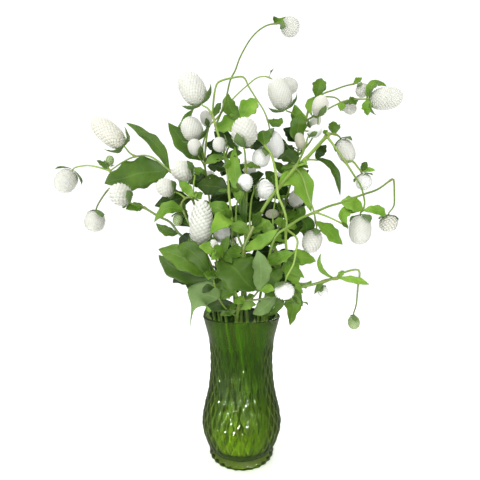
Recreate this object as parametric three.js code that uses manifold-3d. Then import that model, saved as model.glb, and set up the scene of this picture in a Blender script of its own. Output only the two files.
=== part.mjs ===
// A vase of white globe amaranth: cut, branching stems with leaves and papery flower heads,
// standing in a green pressed-glass vase of water.
// Millimetres, +Z up. The origin is the centre of the vase's underside, and the front faces -Y.
import * as THREE from "three";
import Module from "manifold-3d";

const wasm = await Module();
wasm.setup();

// Driving sizes of the vase.
const VASE_HEIGHT = 180;
const COLUMNS = 27; // diamonds around the glass
const DIAMOND_ROWS = 11; // half rows of diamonds, one above the other
const DIAMONDS_FROM = 20;
const DIAMONDS_TO = 147;
const GROOVE = 1; // depth of the grooves between the diamonds
const PILLOW = 0.6; // how far each diamond's middle stands out
const WALL = 3.2;
const FLOOR_Z = 13;
const FOOT_RADIUS = 41.5;
const FOOT_TOP = 7;
const FOOT_INSET = 2; // the flat underside ends this far in from the foot's rim
const FOOT_ROUND = 1.2; // height of the rounding at the rim's lower edge
const WAIST_RADIUS = 36;
const WAIST_Z = 9.5;
const BULB_Z = 13; // above the waist, the bulb starts at this height
const FLUTE = 0.9;
const LIP_HEIGHTS = [151, 165, 178.8];
const LIP_INSETS = [1, 2.4]; // the flat top of the lip lies between these, in from its edge

// Outer radius of the glass at each height, from the bulb's bottom to the lip.
const PROFILE = [
  [12, 42.5], [20, 47], [30, 50], [39, 51.8], [50, 51], [60, 49.1], [71, 46.5], [84, 43.6],
  [97, 42.2], [111, 41.1], [130, 41.2], [140, 42.5], [151, 43.8], [162, 46.5], [172, 49.2],
  [VASE_HEIGHT, 51.1],
];
// Heights of the rings inside the glass, from the lip down to the floor.
const INNER_HEIGHTS = [164, 145, 111, 78, 44, 20];
const FLOOR_RADIUS = 33;

const WATER_LEVEL = 118;
const GAP = 0.3; // clearance between neighbouring solids
const HOLE_CLEARANCE = 0.4;
const WATER_GAP = 0.4; // between the water and the glass round it
const WATER_INSET = 0.6; // the same at the floor's edge, where the glass slants

// Sizes that all stems and leaves share.
const STEM_FOOT = 1.9; // radius of a stem in the water
const NECK_Z = 115; // a stem's bends in the vase are at these heights
const SHOULDER_Z = 145;
const FOOT_SPREAD = 0.74; // how far out a stem stands on the floor, against its place at the lip
const NECK_SPREAD = 0.84;
const SHOULDER_SPREAD = 0.87;
const FOOT_LIFT = 0.85; // the cut end stands on its lower edge, because the stem leans
const FOOT_TURN = 52; // degrees that the bunch of stems winds between the lip and the floor
const NECK_TURN = 14;
const BLADE = 0.7; // thickness of a leaf
const KEEL = 0.45; // extra thickness under the midrib
const PETIOLE = 1.1;
const CUP = 0.15; // how far a leaf's edges rise above its midrib, against half its width
const WAVES = 8; // radians of wave along a leaf's edge
const OFFSET = 2.2; // the wave of one edge runs this many radians ahead of the other
const BRACT = 1.1;
const LONG_SPAN = 36; // a longer stretch of stem between two of its points has a step more
const NECK = 4; // straight end of a limb under its head
const FINEST = 0.3; // a leafy stem's joined pieces lose the slivers that are smaller than this
const SLIVER = 0.03; // the same for the water

// The way that a leaf's upper side faces.
const UP = [0, 0, 1];
const FRONT = [0, -1, 0.25];
const BACK = [0, 1, 0.25];
const REAR = [0, 1, -0.1]; // its pale underside shows at the front
const INSIDE = { face: FRONT, inner: true }; // a leaf in the shade, behind others
// Outline of a leaf: how far along, and the share of its full width there.
const OUTLINE = [[0, 0], [0.2, 0.6], [0.46, 1], [0.77, 0.74]];
const MIDDLE_OUTLINE = [[0, 0], [0.22, 0.68], [0.5, 1], [0.8, 0.66]];
const SMALL_OUTLINE = [[0, 0], [0.28, 0.85], [0.68, 0.85]];
const TAIL_OUTLINE = [[0, 0], [0.14, 0.75], [0.36, 1], [0.58, 0.6], [0.76, 0.18]];
const LARGE_LEAF = 52; // longer leaves have the full outline
const SMALL_LEAF = 34; // leaves shorter than this have the simplest

const vec = (p) => new THREE.Vector3(...p);
const polar = (degrees, radius, z) => {
  const turn = THREE.MathUtils.degToRad(degrees);
  return [Math.cos(turn) * radius, Math.sin(turn) * radius, z];
};

let seed = 7;
function random() {
  seed = (seed * 16807) % 2147483647;
  return seed / 2147483647;
}

// A closed surface, collected point by point.
class Shell {
  points = [];
  faces = [];

  point(p) {
    this.points.push(p.clone());
    return this.points.length - 1;
  }

  ring(list) {
    return list.map((p) => this.point(p));
  }

  face(...corners) {
    this.faces.push(corners);
  }

  // A band of two triangles to each side, between two rings of equal length.
  band(low, high) {
    low.forEach((corner, j) => {
      const next = (j + 1) % low.length;
      this.face(corner, low[next], high[next]);
      this.face(corner, high[next], high[j]);
    });
  }

  fan(centre, ring, flip) {
    ring.forEach((corner, j) => {
      const next = ring[(j + 1) % ring.length];
      if (flip) this.face(centre, corner, next);
      else this.face(centre, next, corner);
    });
  }

  // Diamonds between three rings that are each turned half a column, with a raised middle.
  diamonds(below, row, above, middles) {
    row.forEach((left, j) => {
      const next = (j + 1) % row.length;
      const loop = [below[next], row[next], above[j], left];
      const middle = this.point(middles[j]);
      loop.forEach((corner, k) => this.face(corner, loop[(k + 1) % 4], middle));
    });
  }

  // Closes the strip between two rings where the upper one is turned half a column.
  teeth(row, above) {
    row.forEach((left, j) => this.face(left, row[(j + 1) % row.length], above[j]));
  }

  hangingTeeth(below, row) {
    row.forEach((left, j) => {
      const next = (j + 1) % row.length;
      this.face(below[next], row[next], left);
    });
  }

  geometry() {
    const made = new THREE.BufferGeometry();
    const numbers = this.points.flatMap((p) => [p.x, p.y, p.z]);
    made.setAttribute("position", new THREE.Float32BufferAttribute(numbers, 3));
    made.setIndex(this.faces.flat());
    return made;
  }
}

const solid = (geometry) => new wasm.Manifold(new wasm.Mesh({
  numProp: 3,
  vertProperties: new Float32Array(geometry.attributes.position.array),
  triVerts: new Uint32Array(geometry.index.array),
}));

function geometryOf(made) {
  const mesh = made.getMesh();
  const geometry = new THREE.BufferGeometry();
  geometry.setAttribute("position", new THREE.Float32BufferAttribute(mesh.vertProperties, 3));
  geometry.setIndex(Array.from(mesh.triVerts));
  return geometry;
}

// The glass.

function radiusAt(z) {
  const above = PROFILE.findIndex(([height]) => height >= z);
  if (above < 1) return PROFILE[0][1];
  const [[z0, r0], [z1, r1]] = [PROFILE[above - 1], PROFILE[above]];
  return r0 + ((r1 - r0) * (z - z0)) / (z1 - z0);
}

const circle = (radius, z, turn = 0) => Array.from({ length: COLUMNS }, (_, j) =>
  vec(polar(((j + turn) * 360) / COLUMNS, radius, z)));

const INNER_TURN = DIAMOND_ROWS / 2;
const innerRadius = (z) => radiusAt(z) - WALL - (z < DIAMONDS_TO ? GROOVE : 0);

function vaseGeometry() {
  const shell = new Shell();
  const bottom = shell.point(vec([0, 0, 0]));
  const rest = shell.ring(circle(FOOT_RADIUS - FOOT_INSET, 0));
  shell.fan(bottom, rest);
  // The foot, with a flute below each diamond.
  const footLow = shell.ring(circle(FOOT_RADIUS - FLUTE, FOOT_ROUND));
  shell.band(rest, footLow);
  const footHigh = shell.ring(circle(FOOT_RADIUS - 2 * FLUTE, FOOT_TOP));
  const middles = circle(FOOT_RADIUS + FLUTE, FOOT_TOP / 2, 0.5);
  footLow.forEach((corner, j) => {
    const next = (j + 1) % COLUMNS;
    const loop = [corner, footLow[next], footHigh[next], footHigh[j]];
    const middle = shell.point(middles[j]);
    loop.forEach((from, k) => shell.face(from, loop[(k + 1) % 4], middle));
  });
  const waist = shell.ring(circle(WAIST_RADIUS, WAIST_Z));
  shell.band(footHigh, waist);
  const bulb = shell.ring(circle(PROFILE[0][1], BULB_Z));
  shell.band(waist, bulb);
  // The quilted body.
  const step = (DIAMONDS_TO - DIAMONDS_FROM) / DIAMOND_ROWS;
  const height = (k) => DIAMONDS_FROM + k * step;
  const rows = [];
  for (let k = 0; k <= DIAMOND_ROWS; k++) {
    rows.push(shell.ring(circle(radiusAt(height(k)) - GROOVE, height(k), k / 2)));
  }
  shell.band(bulb, rows[0]);
  shell.teeth(rows[0], rows[1]);
  for (let k = 1; k < DIAMOND_ROWS; k++) {
    const raised = circle(radiusAt(height(k)) + PILLOW, height(k), k / 2 + 0.5);
    shell.diamonds(rows[k - 1], rows[k], rows[k + 1], raised);
  }
  shell.hangingTeeth(rows[DIAMOND_ROWS - 1], rows[DIAMOND_ROWS]);
  // The plain lip, then the inside down to the floor.
  let last = rows[DIAMOND_ROWS];
  const next = (radius, z) => {
    const ring = shell.ring(circle(radius, z, INNER_TURN));
    shell.band(last, ring);
    last = ring;
  };
  for (const z of LIP_HEIGHTS) next(radiusAt(z), z);
  for (const inset of LIP_INSETS) next(radiusAt(VASE_HEIGHT) - inset, VASE_HEIGHT);
  for (const z of INNER_HEIGHTS) next(innerRadius(z), z);
  next(FLOOR_RADIUS, FLOOR_Z);
  shell.fan(shell.point(vec([0, 0, FLOOR_Z])), last, true);
  return shell.geometry();
}

// Stems. A centre line is a smooth curve through hand-placed points.

function smooth(points) {
  const curve = new THREE.CatmullRomCurve3(points.map(vec), false, "catmullrom", 0.5);
  const spans = points.length - 1;
  const line = [curve.getPoint(0)];
  for (let i = 0; i < spans; i++) {
    const long = vec(points[i]).distanceTo(vec(points[i + 1])) > LONG_SPAN;
    if (long) line.push(curve.getPoint((i + 0.5) / spans));
    line.push(curve.getPoint((i + 1) / spans));
  }
  return line;
}

function tubeGeometry(line, startRadius, endRadius, sides) {
  const shell = new Shell();
  let side = new THREE.Vector3(0, -1, 0);
  const rings = line.map((p, i) => {
    const ahead = line[Math.min(i + 1, line.length - 1)].clone();
    const tangent = ahead.sub(line[Math.max(i - 1, 0)]).normalize();
    side = side.clone().addScaledVector(tangent, -side.dot(tangent)).normalize();
    const other = tangent.clone().cross(side);
    const radius = startRadius + ((endRadius - startRadius) * i) / (line.length - 1);
    return shell.ring(Array.from({ length: sides }, (_, j) => {
      const turn = (2 * Math.PI * j) / sides;
      return p.clone().addScaledVector(side, radius * Math.cos(turn))
        .addScaledVector(other, radius * Math.sin(turn));
    }));
  });
  rings.slice(1).forEach((ring, i) => shell.band(rings[i], ring));
  const cap = (ring, flip) => {
    for (let j = 1; j < sides - 1; j++) {
      if (flip) shell.face(ring[0], ring[j], ring[j + 1]);
      else shell.face(ring[0], ring[j + 1], ring[j]);
    }
  };
  cap(rings[0], false);
  cap(rings[rings.length - 1], true);
  return shell.geometry();
}

// The part of a stem that stands in the vase, from the floor to the lip.
function insideVase({ azimuth, reach }) {
  return [
    polar(azimuth + FOOT_TURN, reach * FOOT_SPREAD, FLOOR_Z + FOOT_LIFT),
    polar(azimuth + NECK_TURN, reach * NECK_SPREAD, NECK_Z),
    polar(azimuth + NECK_TURN / 2, reach * SHOULDER_SPREAD, SHOULDER_Z),
    polar(azimuth, reach, VASE_HEIGHT),
  ].map(vec);
}

// A stem's centre line: straight in the vase, then a smooth curve from the lip up.
function mainLine(plant) {
  const below = insideVase(plant);
  const lip = below.pop();
  return [...below, ...smooth([lip.toArray(), ...plant.route])];
}

// Leaves and bracts.

function frameOf(tangent, face) {
  const side = tangent.clone().cross(face).normalize();
  return { side, normal: side.clone().cross(tangent).normalize() };
}

function middleLine(root, via, tip) {
  const control = via.clone().multiplyScalar(2).addScaledVector(root, -0.5).addScaledVector(tip, -0.5);
  return new THREE.QuadraticBezierCurve3(root, control, tip);
}

// A waved blade of even thickness, split into triangles alike on its two faces. Each station
// along it has two edge points, and on a large leaf the midrib between them.
function bladeGeometry(root, { via, tip, wide, face = UP, wave = 0.1, tail, inner }) {
  const length = root.distanceTo(tip);
  const large = tail || length >= LARGE_LEAF;
  const plain = inner || length < SMALL_LEAF ? SMALL_OUTLINE : MIDDLE_OUTLINE;
  const outline = tail ? TAIL_OUTLINE : large ? OUTLINE : plain;
  const line = middleLine(root, via, tip);
  const phase = random() * 6;
  const shell = new Shell();
  const stations = outline.map(([t, share]) => {
    const centre = line.getPoint(t);
    const { side, normal } = frameOf(line.getTangent(t), vec(face));
    const half = Math.max(PETIOLE, (share * wide) / 2);
    const edge = (way, turn) => {
      const lift = half * CUP + share * wide * wave * Math.sin(phase + turn + WAVES * t);
      return centre.clone().addScaledVector(side, way * half).addScaledVector(normal, lift);
    };
    const across = large ? [edge(-1, 0), centre, edge(1, OFFSET)] : [edge(-1, 0), edge(1, OFFSET)];
    const sunk = (p, k) => p.clone().addScaledVector(normal, -BLADE - (large && k === 1 ? KEEL : 0));
    return { top: shell.ring(across), under: shell.ring(across.map(sunk)) };
  });
  const last = stations[0].top.length - 1;
  const rootCap = stations[0];
  for (let k = 0; k < last; k++) {
    shell.face(rootCap.top[k], rootCap.under[k], rootCap.under[k + 1]);
    shell.face(rootCap.top[k], rootCap.under[k + 1], rootCap.top[k + 1]);
  }
  for (let i = 1; i < stations.length; i++) {
    const { top: a, under: b } = stations[i - 1];
    const { top: c, under: d } = stations[i];
    for (let k = 0; k < last; k++) {
      shell.face(a[k], a[k + 1], c[k]);
      shell.face(a[k + 1], c[k + 1], c[k]);
      shell.face(b[k], d[k], b[k + 1]);
      shell.face(b[k + 1], d[k], d[k + 1]);
    }
    shell.face(a[last], b[last], d[last]);
    shell.face(a[last], d[last], c[last]);
    shell.face(a[0], c[0], d[0]);
    shell.face(a[0], d[0], b[0]);
  }
  const { top, under } = stations[stations.length - 1];
  const { normal } = frameOf(line.getTangent(1), vec(face));
  const point = shell.point(tip);
  const below = shell.point(tip.clone().addScaledVector(normal, -BLADE));
  for (let k = 0; k < last; k++) {
    shell.face(top[k], top[k + 1], point);
    shell.face(under[k + 1], under[k], below);
  }
  shell.face(top[last], under[last], below);
  shell.face(top[last], below, point);
  shell.face(top[0], point, below);
  shell.face(top[0], below, under[0]);
  return shell.geometry();
}

// A head's pair of leafy bracts in one piece: two pointed slivers that meet under the head.
function bractPair(ends, middles, root, wide) {
  const shell = new Shell();
  const along = ends[1].clone().sub(ends[0]).normalize();
  const rise = middles[0].clone().lerp(middles[1], 0.5).sub(root);
  const { side, normal } = frameOf(along, rise);
  const section = (p, half) => shell.ring([
    p.clone().addScaledVector(side, half),
    p.clone().addScaledVector(normal, -BRACT / 2),
    p.clone().addScaledVector(side, -half),
    p.clone().addScaledVector(normal, BRACT / 2),
  ]);
  const sections = [section(middles[0], wide / 2), section(root, wide / 5), section(middles[1], wide / 2)];
  shell.fan(shell.point(ends[0]), sections[0]);
  shell.band(sections[0], sections[1]);
  shell.band(sections[1], sections[2]);
  shell.fan(shell.point(ends[1]), sections[2], true);
  return shell.geometry();
}

// Flower heads: a closed ball of overlapping pointed scales.

const FULLNESS = 2.3; // a head's outline is an ellipse at 2, and boxier above
const SEAM = -0.05; // how far the scales' seams and points stand out, against half the head's width
const SCALE_RISE = 0.15;
const POINT_AT = 0.62; // how far a scale's point reaches into the next row
const ACROSS = [0, -1, 0.01]; // no head points this way

function headFrame({ base, tip }) {
  const start = vec(base);
  const axis = vec(tip).sub(start);
  const length = axis.length();
  axis.normalize();
  return { start, axis, length, side: vec(ACROSS).cross(axis).normalize() };
}

function headGeometry(flower) {
  const { wide } = flower;
  const { start, axis, length, side } = headFrame(flower);
  const other = axis.clone().cross(side);
  const columns = wide > 26 ? 7 : wide > 18 ? 6 : 5;
  const rows = length > 36 ? 8 : wide > 19 ? 6 : wide > 12 ? 5 : 4;
  const place = (turn, t, rise) => {
    const swell = (1 - Math.abs(2 * t - 1) ** FULLNESS) ** (1 / FULLNESS);
    const radius = (wide / 2) * (swell + rise);
    const angle = (2 * Math.PI * turn) / columns;
    return start.clone().addScaledVector(axis, length * t)
      .addScaledVector(side, radius * Math.cos(angle))
      .addScaledVector(other, radius * Math.sin(angle));
  };
  const level = (k) => 0.5 - 0.5 * Math.cos((Math.PI * k) / rows);
  const around = (k, turn, t, rise) =>
    Array.from({ length: columns }, (_, j) => place(j + k / 2 + turn, t, rise));
  const shell = new Shell();
  const rings = [Array(columns).fill(shell.point(start))];
  for (let k = 1; k < rows; k++) rings.push(shell.ring(around(k, 0, level(k), SEAM)));
  rings.push(Array(columns).fill(shell.point(vec(flower.tip))));
  for (let k = 1; k < rows; k++) {
    const t = level(k) + POINT_AT * (level(k + 1) - level(k));
    shell.diamonds(rings[k - 1], rings[k], rings[k + 1], around(k, 0.5, t, SCALE_RISE));
  }
  return shell.geometry();
}

// The bunch. Each stem lists its way above the lip, its limbs with their heads, and its leaves.
// Points are [right, back, up]. A limb or a leaf starts at the nearest point of its own stem.
// Two small heads deep in the bunch are fused with their stem.

const leaf = (at, tip, wide, more = {}) => ({ at, tip, wide, ...more });
const head = (name, base, tip, wide, more = {}) => ({ name, base, tip, wide, ...more });
const limb = (at, route, flower) => ({ at, route, flower });

const STEMS = [
  {
    name: "stem_far_left", azimuth: 165, reach: 38, top: 1.5,
    route: [[-42, 6, 228], [-52, -4, 290], [-64, -14, 333], [-75, -18, 352], [-92, -20, 367]],
    limbs: [
      limb([-92, -20, 367], [[-114, -24, 383], [-134, -22, 384], [-151, -21, 377], [-168, -18, 367]]),
      limb([-134, -22, 384], [[-142, -21, 389]],
        head("head_long_left", [-151, -20, 399], [-187, -20, 430], 28)),
      limb([-168, -18, 367], [[-187, -15, 373], [-199, -14, 375], [-212, -12, 374]],
        head("head_far_left", [-221, -10, 369], [-237, -10, 343], 26)),
      limb([-168, -18, 367], [],
        head("head_bud_left", [-170, -17, 375], [-168, -16, 386], 10)),
      limb([-168, -18, 367], [[-162, -20, 350], [-171, -20, 341], [-180, -20, 328]],
        head("head_low_left", [-185, -20, 315], [-188, -20, 290], 25)),
    ],
    leaves: [
      leaf([-92, -20, 367], [-168, -34, 347], 44, { via: [-130, -27, 360], face: [0, -1, 0.15] }),
      leaf([-92, -20, 367], [-158, 8, 440], 18, { via: [-118, -4, 410], face: [0.3, -1, 0.3] }),
      leaf([-64, -14, 333], [-108, -30, 320], 24, { via: [-84, -26, 328], face: FRONT }),
      leaf([-52, -4, 290], [-98, 26, 300], 24),
      leaf([-42, 6, 228], [-94, 12, 240], 26),
      leaf([-168, -18, 367], [-185, -19, 380], 7, { face: FRONT }),
    ],
  },
  {
    name: "stem_left_low", azimuth: 200, reach: 38, top: 1.4,
    route: [[-42, -22, 225], [-58, -33, 268], [-76, -40, 286], [-86, -41, 299], [-100, -40, 306],
      [-118, -38, 317]],
    limbs: [
      limb([-118, -38, 317], [],
        head("head_left_leafy", [-129, -58, 321], [-146, -62, 335], 25)),
    ],
    leaves: [
      leaf([-118, -38, 317], [-135, -52, 313], 13, { face: FRONT }),
      leaf([-44, -24, 232], [-88, -30, 238], 22, INSIDE),
      leaf([-58, -33, 268], [-92, -20, 250], 22),
      leaf([-62, -34, 274], [-34, -20, 290], 20, INSIDE),
    ],
  },
  {
    name: "stem_left_mid", azimuth: 217, reach: 36, top: 1,
    route: [[-31, -40, 228], [-42, -50, 262], [-60, -54, 294], [-67, -55, 309], [-70, -55, 317],
      [-65, -55, 325], [-56, -54, 326], [-46, -52, 319]],
    limbs: [
      limb([-56, -54, 326], [[-56, -53, 334], [-56, -50, 346]],
        head("head_left_mid", [-59, -46, 355], [-81, -43, 364], 24)),
      limb([-66, -55, 325], [[-71, -53, 330]],
        head("head_left_behind", [-79, -51, 334], [-97, -53, 342], 21)),
      limb([-70, -55, 317], [[-72, -56, 311]],
        head("head_green_bud", [-73, -57, 306], [-74, -57, 294], 11)),
    ],
    leaves: [
      leaf([-56, -54, 326], [-72, -60, 344], 12, { face: FRONT }),
      leaf([-66, -55, 309], [-99, -62, 297], 15, { via: [-82, -66, 312], face: FRONT }),
      leaf([-52, -53, 280], [-74, -50, 268], 18, { face: FRONT }),
    ],
  },
  {
    name: "stem_spiky", azimuth: 240, reach: 38, top: 1.8,
    route: [[-24, -44, 215], [-37, -58, 240], [-45, -68, 260]],
    limbs: [
      limb([-45, -68, 260], [],
        head("head_spiky", [-46, -72, 269], [-43, -75, 317], 24)),
      limb([-28, -49, 224], [[-27, -54, 248], [-24, -53, 266]],
        head("head_under_leaf", [-22, -52, 276], [-24, -51, 297], 20)),
    ],
    leaves: [],
  },
  {
    name: "stem_left_upper", azimuth: 140, reach: 38, top: 1.3,
    route: [[-34, 22, 240], [-40, 18, 300], [-46, 12, 350], [-50, 7, 385], [-48, 8, 415], [-47, 8, 427]],
    limbs: [
      limb([-47, 8, 427], [],
        head("head_peeping", [-46, 8, 436], [-51, 8, 455], 16)),
      limb([-50, 7, 385], [[-53, -8, 398]],
        head("head_left_upper", [-57, -18, 407], [-69, -20, 432], 28)),
      limb([-47, 11, 366], [[-48, -12, 374], [-51, -24, 379]],
        head("head_small_upper", [-54, -30, 384], [-61, -31, 401], 18)),
      limb([-50, 7, 385], [[-54, 18, 412], [-46, 22, 440], [-36, 24, 452], [-21, 24, 470],
        [-8, 24, 485], [9, 25, 501], [22, 25, 511], [35, 25, 513], [46, 25, 508]],
      head("head_arching", [56, 25, 503], [79, 25, 496], 22)),
    ],
    leaves: [
      leaf([-50, 7, 388], [-99, 3, 438], 28, { via: [-74, 4, 408], face: FRONT }),
      leaf([-50, 7, 388], [-67, 22, 466], 20, { via: [-78, 17, 430], face: FRONT }),
      leaf([-40, 18, 300], [-70, 44, 330], 26, { face: BACK }),
      leaf([-46, 12, 350], [-40, 52, 372], 24),
      leaf([40, 25, 512], [46, 26, 525], 6),
      leaf([-34, 22, 240], [-62, 52, 236], 26),
      leaf([-38, 19, 280], [4, 14, 296], 26, INSIDE),
      leaf([-44, 14, 330], [-4, 22, 352], 26, INSIDE),
      leaf([-40, 18, 305], [-2, 30, 322], 26, INSIDE),
      leaf([-50, 7, 385], [-22, -4, 391], 20, INSIDE),
      leaf([-49, 8, 410], [-22, 10, 402], 20, INSIDE),
    ],
  },
  {
    name: "stem_tall", azimuth: 250, reach: 22, top: 1.3,
    route: [[-10, -34, 225], [-11, -44, 267], [-12, -45, 301], [-15, -42, 331], [-17, -40, 356],
      [-21, -36, 383], [-28, -33, 405], [-36, -32, 432]],
    limbs: [
      limb([-36, -32, 432], [[-42, -33, 440]],
        head("head_upper_left", [-50, -34, 446], [-70, -36, 478], 32)),
      limb([-36, -32, 432], [[-34, -30, 457], [-31, -29, 471], [-26, -28, 476], [-14, -27, 480],
        [2, -26, 482], [9, -26, 470], [19, -26, 454], [28, -24, 441], [34, -20, 428]],
      head("head_hanging_mid", [37, -16, 418], [47, -15, 386], 24)),
      limb([-31, -33, 417], [[-21, -20, 454], [-15, -12, 485], [-8, -8, 502], [-2, -4, 521],
        [10, -2, 544], [22, 0, 559], [35, 0, 567], [47, 0, 569]],
      head("head_top", [54, 0, 568], [76, 0, 561], 23)),
      limb([-20, -37, 378], [[-17, -44, 385]],
        head("head_at_stem", [-19, -51, 387], [-33, -51, 390], 17)),
    ],
    leaves: [
      leaf([-12, -45, 302], [-40, -52, 319], 20, { via: [-24, -50, 312], face: FRONT }),
      leaf([-12, -45, 300], [-33, -88, 282], 20, { via: [-20, -73, 297], face: FRONT }),
      leaf([-15, -42, 335], [-56, -30, 345], 28, { face: FRONT }),
      leaf([46, 0, 569], [62, 12, 588], 10, { via: [50, 9, 578], face: FRONT }),
      leaf([46, 0, 569], [43, 0, 579], 6, { face: FRONT }),
      leaf([-36, -32, 430], [-25, -36, 445], 9, { face: FRONT }),
      leaf([-18, -39, 362], [-42, -34, 368], 18, INSIDE),
      leaf([34, -20, 430], [52, -16, 436], 13, { via: [45, -19, 428], face: FRONT }),
    ],
  },
  {
    name: "stem_centre", azimuth: 270, reach: 20, top: 1.4,
    route: [[2, -30, 230], [4, -34, 268], [5, -28, 300], [6, -26, 335], [5, -36, 368]],
    limbs: [
      limb([5, -36, 368], [[4, -48, 378]],
        head("head_centre", [3, -57, 385], [3, -59, 414], 30)),
      limb([4, -31, 285], [[-2, -20, 330], [-6, -14, 375], [-3, -12, 415], [0, -12, 438]]),
    ],
    leaves: [
      leaf([5, -28, 312], [-8, -36, 392], 16, { via: [-7, -40, 352], face: [0, -1, 0] }),
      leaf([0, -12, 436], [-18, -6, 473], 20, { via: [-15, -8, 452], face: FRONT }),
      leaf([0, -12, 436], [20, -8, 464], 24, { face: FRONT }),
      leaf([-1, -12, 428], [-36, -6, 424], 26, { via: [-18, -8, 430], face: FRONT }),
      leaf([-6, -14, 375], [-28, 20, 370], 22),
      leaf([-4, -17, 345], [18, 14, 352], 22),
      leaf([5, -31, 289], [2, -44, 331], 9, { via: [2, -42, 308], face: [0, -1, 0] }),
    ],
  },
  {
    name: "stem_star", azimuth: 281, reach: 36, top: 2,
    route: [[4, -48, 215], [1, -60, 245], [2, -64, 266], [8, -66, 281], [17, -66, 299],
      [33, -64, 325], [63, -60, 361], [72, -60, 368], [100, -56, 399]],
    limbs: [
      limb([100, -56, 399], [[109, -50, 401]],
        head("head_right_front", [118, -45, 396], [129, -45, 370], 20)),
      limb([98, -56, 397], [[107, -60, 381], [118, -59, 366], [127, -58, 353], [137, -55, 340],
        [141, -53, 330], [144, -50, 320], [143, -47, 312]],
      head("head_hanging_right", [141, -45, 306], [140, -45, 273], 26)),
      limb([118, -59, 366], [[130, -50, 369], [139, -44, 363]],
        head("head_right_small", [145, -40, 356], [149, -40, 339], 19)),
      limb([62, -60, 360], [[68, -64, 348], [74, -66, 326], [80, -66, 310], [83, -64, 297]],
        head("head_front_right", [84, -60, 288], [76, -60, 264], 22)),
      limb([62, -60, 360], [[72, -56, 381]],
        head("head_pale_right", [80, -52, 399], [91, -51, 408], 14)),
      limb([2, -64, 266], [[-5, -62, 285], [-6, -59, 316]],
        head("head_centre_small", [2, -57, 334], [6, -56, 351], 17)),
      limb([8, -66, 283], [[9, -66, 300], [11, -61, 322], [14, -53, 334]],
        head("head_beside_stem", [18, -48, 340], [36, -45, 333], 21)),
      limb([72, -60, 368], [[79, -54, 370], [87, -50, 371]]),
    ],
    leaves: [
      leaf([40, -66, 337], [82, -48, 310], 28, { via: [64, -56, 345], face: FRONT }),
      leaf([63, -60, 361], [48, -28, 384], 24, { face: FRONT }),
      leaf([2, -64, 266], [39, -82, 288], 14, { via: [20, -78, 274], face: FRONT }),
      leaf([12, -66, 290], [21, -84, 305], 11, { face: FRONT }),
      leaf([83, -64, 297], [121, -42, 272], 18, { via: [104, -46, 286], face: FRONT }),
      leaf([109, -50, 400], [108, -46, 418], 14, { face: FRONT }),
      leaf([143, -47, 312], [114, -54, 320], 20, { via: [128, -54, 319], face: FRONT }),
      leaf([143, -47, 311], [121, -60, 289], 12, { via: [118, -56, 308], face: FRONT }),
      leaf([143, -47, 311], [171, -46, 306], 12, { via: [158, -50, 312], face: FRONT }),
      leaf([87, -50, 371], [100, -46, 390], 12, { face: FRONT }),
      leaf([87, -50, 371], [118, -42, 330], 10, { via: [109, -42, 364], face: FRONT }),
      leaf([100, -56, 399], [92, -61, 398], 8, { face: FRONT }),
      leaf([144, -40, 361], [152, -38, 372], 8, { face: FRONT }),
      leaf([144, -40, 361], [162, -38, 362], 6, { face: FRONT }),
    ],
  },
  {
    name: "stem_centre_right", azimuth: 325, reach: 36, top: 1.4,
    route: [[38, -36, 215], [50, -56, 252], [49, -66, 281], [49, -71, 298], [45, -73, 312],
      [40, -74, 323], [38, -75, 335], [37, -69, 354], [34, -58, 374], [27, -50, 387]],
    limbs: [
      limb([27, -50, 387], [],
        head("head_under_leaf_mid", [26, -43, 386], [21, -35, 368], 22)),
      limb([40, -40, 222], [[45, -52, 252], [37, -55, 273], [36, -54, 300], [39, -50, 324],
        [42, -42, 342]]),
      limb([49, -69, 288], [[59, -80, 277], [57, -84, 263], [54, -86, 250], [48, -86, 239]],
        head("head_over_lip", [46, -83, 230], [44, -82, 214], 21)),
    ],
    leaves: [
      leaf([27, -50, 387], [25, -42, 409], 18, { face: FRONT }),
      leaf([42, -42, 342], [30, -28, 364], 13, { face: FRONT }),
      leaf([50, -58, 256], [88, -46, 252], 18, { face: FRONT }),
      leaf([37, -55, 273], [62, -40, 290], 16, INSIDE),
      leaf([37, -54, 276], [21, -58, 302], 14, { face: FRONT }),
      leaf([37, -54, 274], [10, -52, 280], 10, { face: FRONT }),
      leaf([47, -52, 244], [27, -54, 219], 16, { face: FRONT }),
      leaf([50, -58, 254], [65, -50, 222], 20, { face: FRONT }),
      leaf([27, -50, 387], [9, -34, 391], 13, { face: FRONT }),
    ],
  },
  {
    name: "stem_right_tall", azimuth: 30, reach: 36, top: 1.5,
    route: [[38, 18, 235], [48, 16, 280], [58, 14, 320], [68, 12, 360], [76, 10, 395],
      [88, 10, 443], [94, 10, 467]],
    limbs: [
      limb([94, 10, 467], [[111, 8, 479], [126, 7, 484], [141, 6, 489], [152, 5, 491]],
        head("head_right_upper", [159, 5, 489], [168, 4, 475], 17)),
      limb([88, 10, 443], [[97, 2, 446], [112, -2, 452], [123, -5, 457], [137, -7, 462],
        [152, -9, 463]],
      head("head_far_right", [168, -10, 463], [208, -10, 464], 28)),
      limb([93, 10, 462], [[98, 18, 478], [113, 17, 480], [129, 13, 477], [135, 11, 471]],
        head("head_right_tiny", [140, 10, 466], [156, 10, 456], 15)),
      limb([76, 10, 395], [[88, -4, 405], [96, -17, 420]],
        head("head_right_inner", [98, -20, 437], [102, -20, 460], 21)),
      limb([84, 10, 430], [[93, 22, 434]],
        head("head_right_back", [101, 30, 442], [111, 31, 459], 16)),
      limb([86, 10, 437], [[72, 0, 446], [63, -10, 446]],
        head("head_big_upper", [57, -14, 449], [42, -16, 484], 29)),
      limb([56, 14, 312], [[63, 6, 317]],
        head("head_grey", [70, -3, 323], [76, -5, 345], 21)),
      limb([76, 10, 395], [],
        head("head_beige", [79, -9, 398], [74, -9, 418], 13, { fused: true })),
      limb([54, 15, 305], [[54, 2, 312]],
        head("head_beige_low", [48, -10, 314], [32, -12, 312], 12, { fused: true })),
    ],
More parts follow.
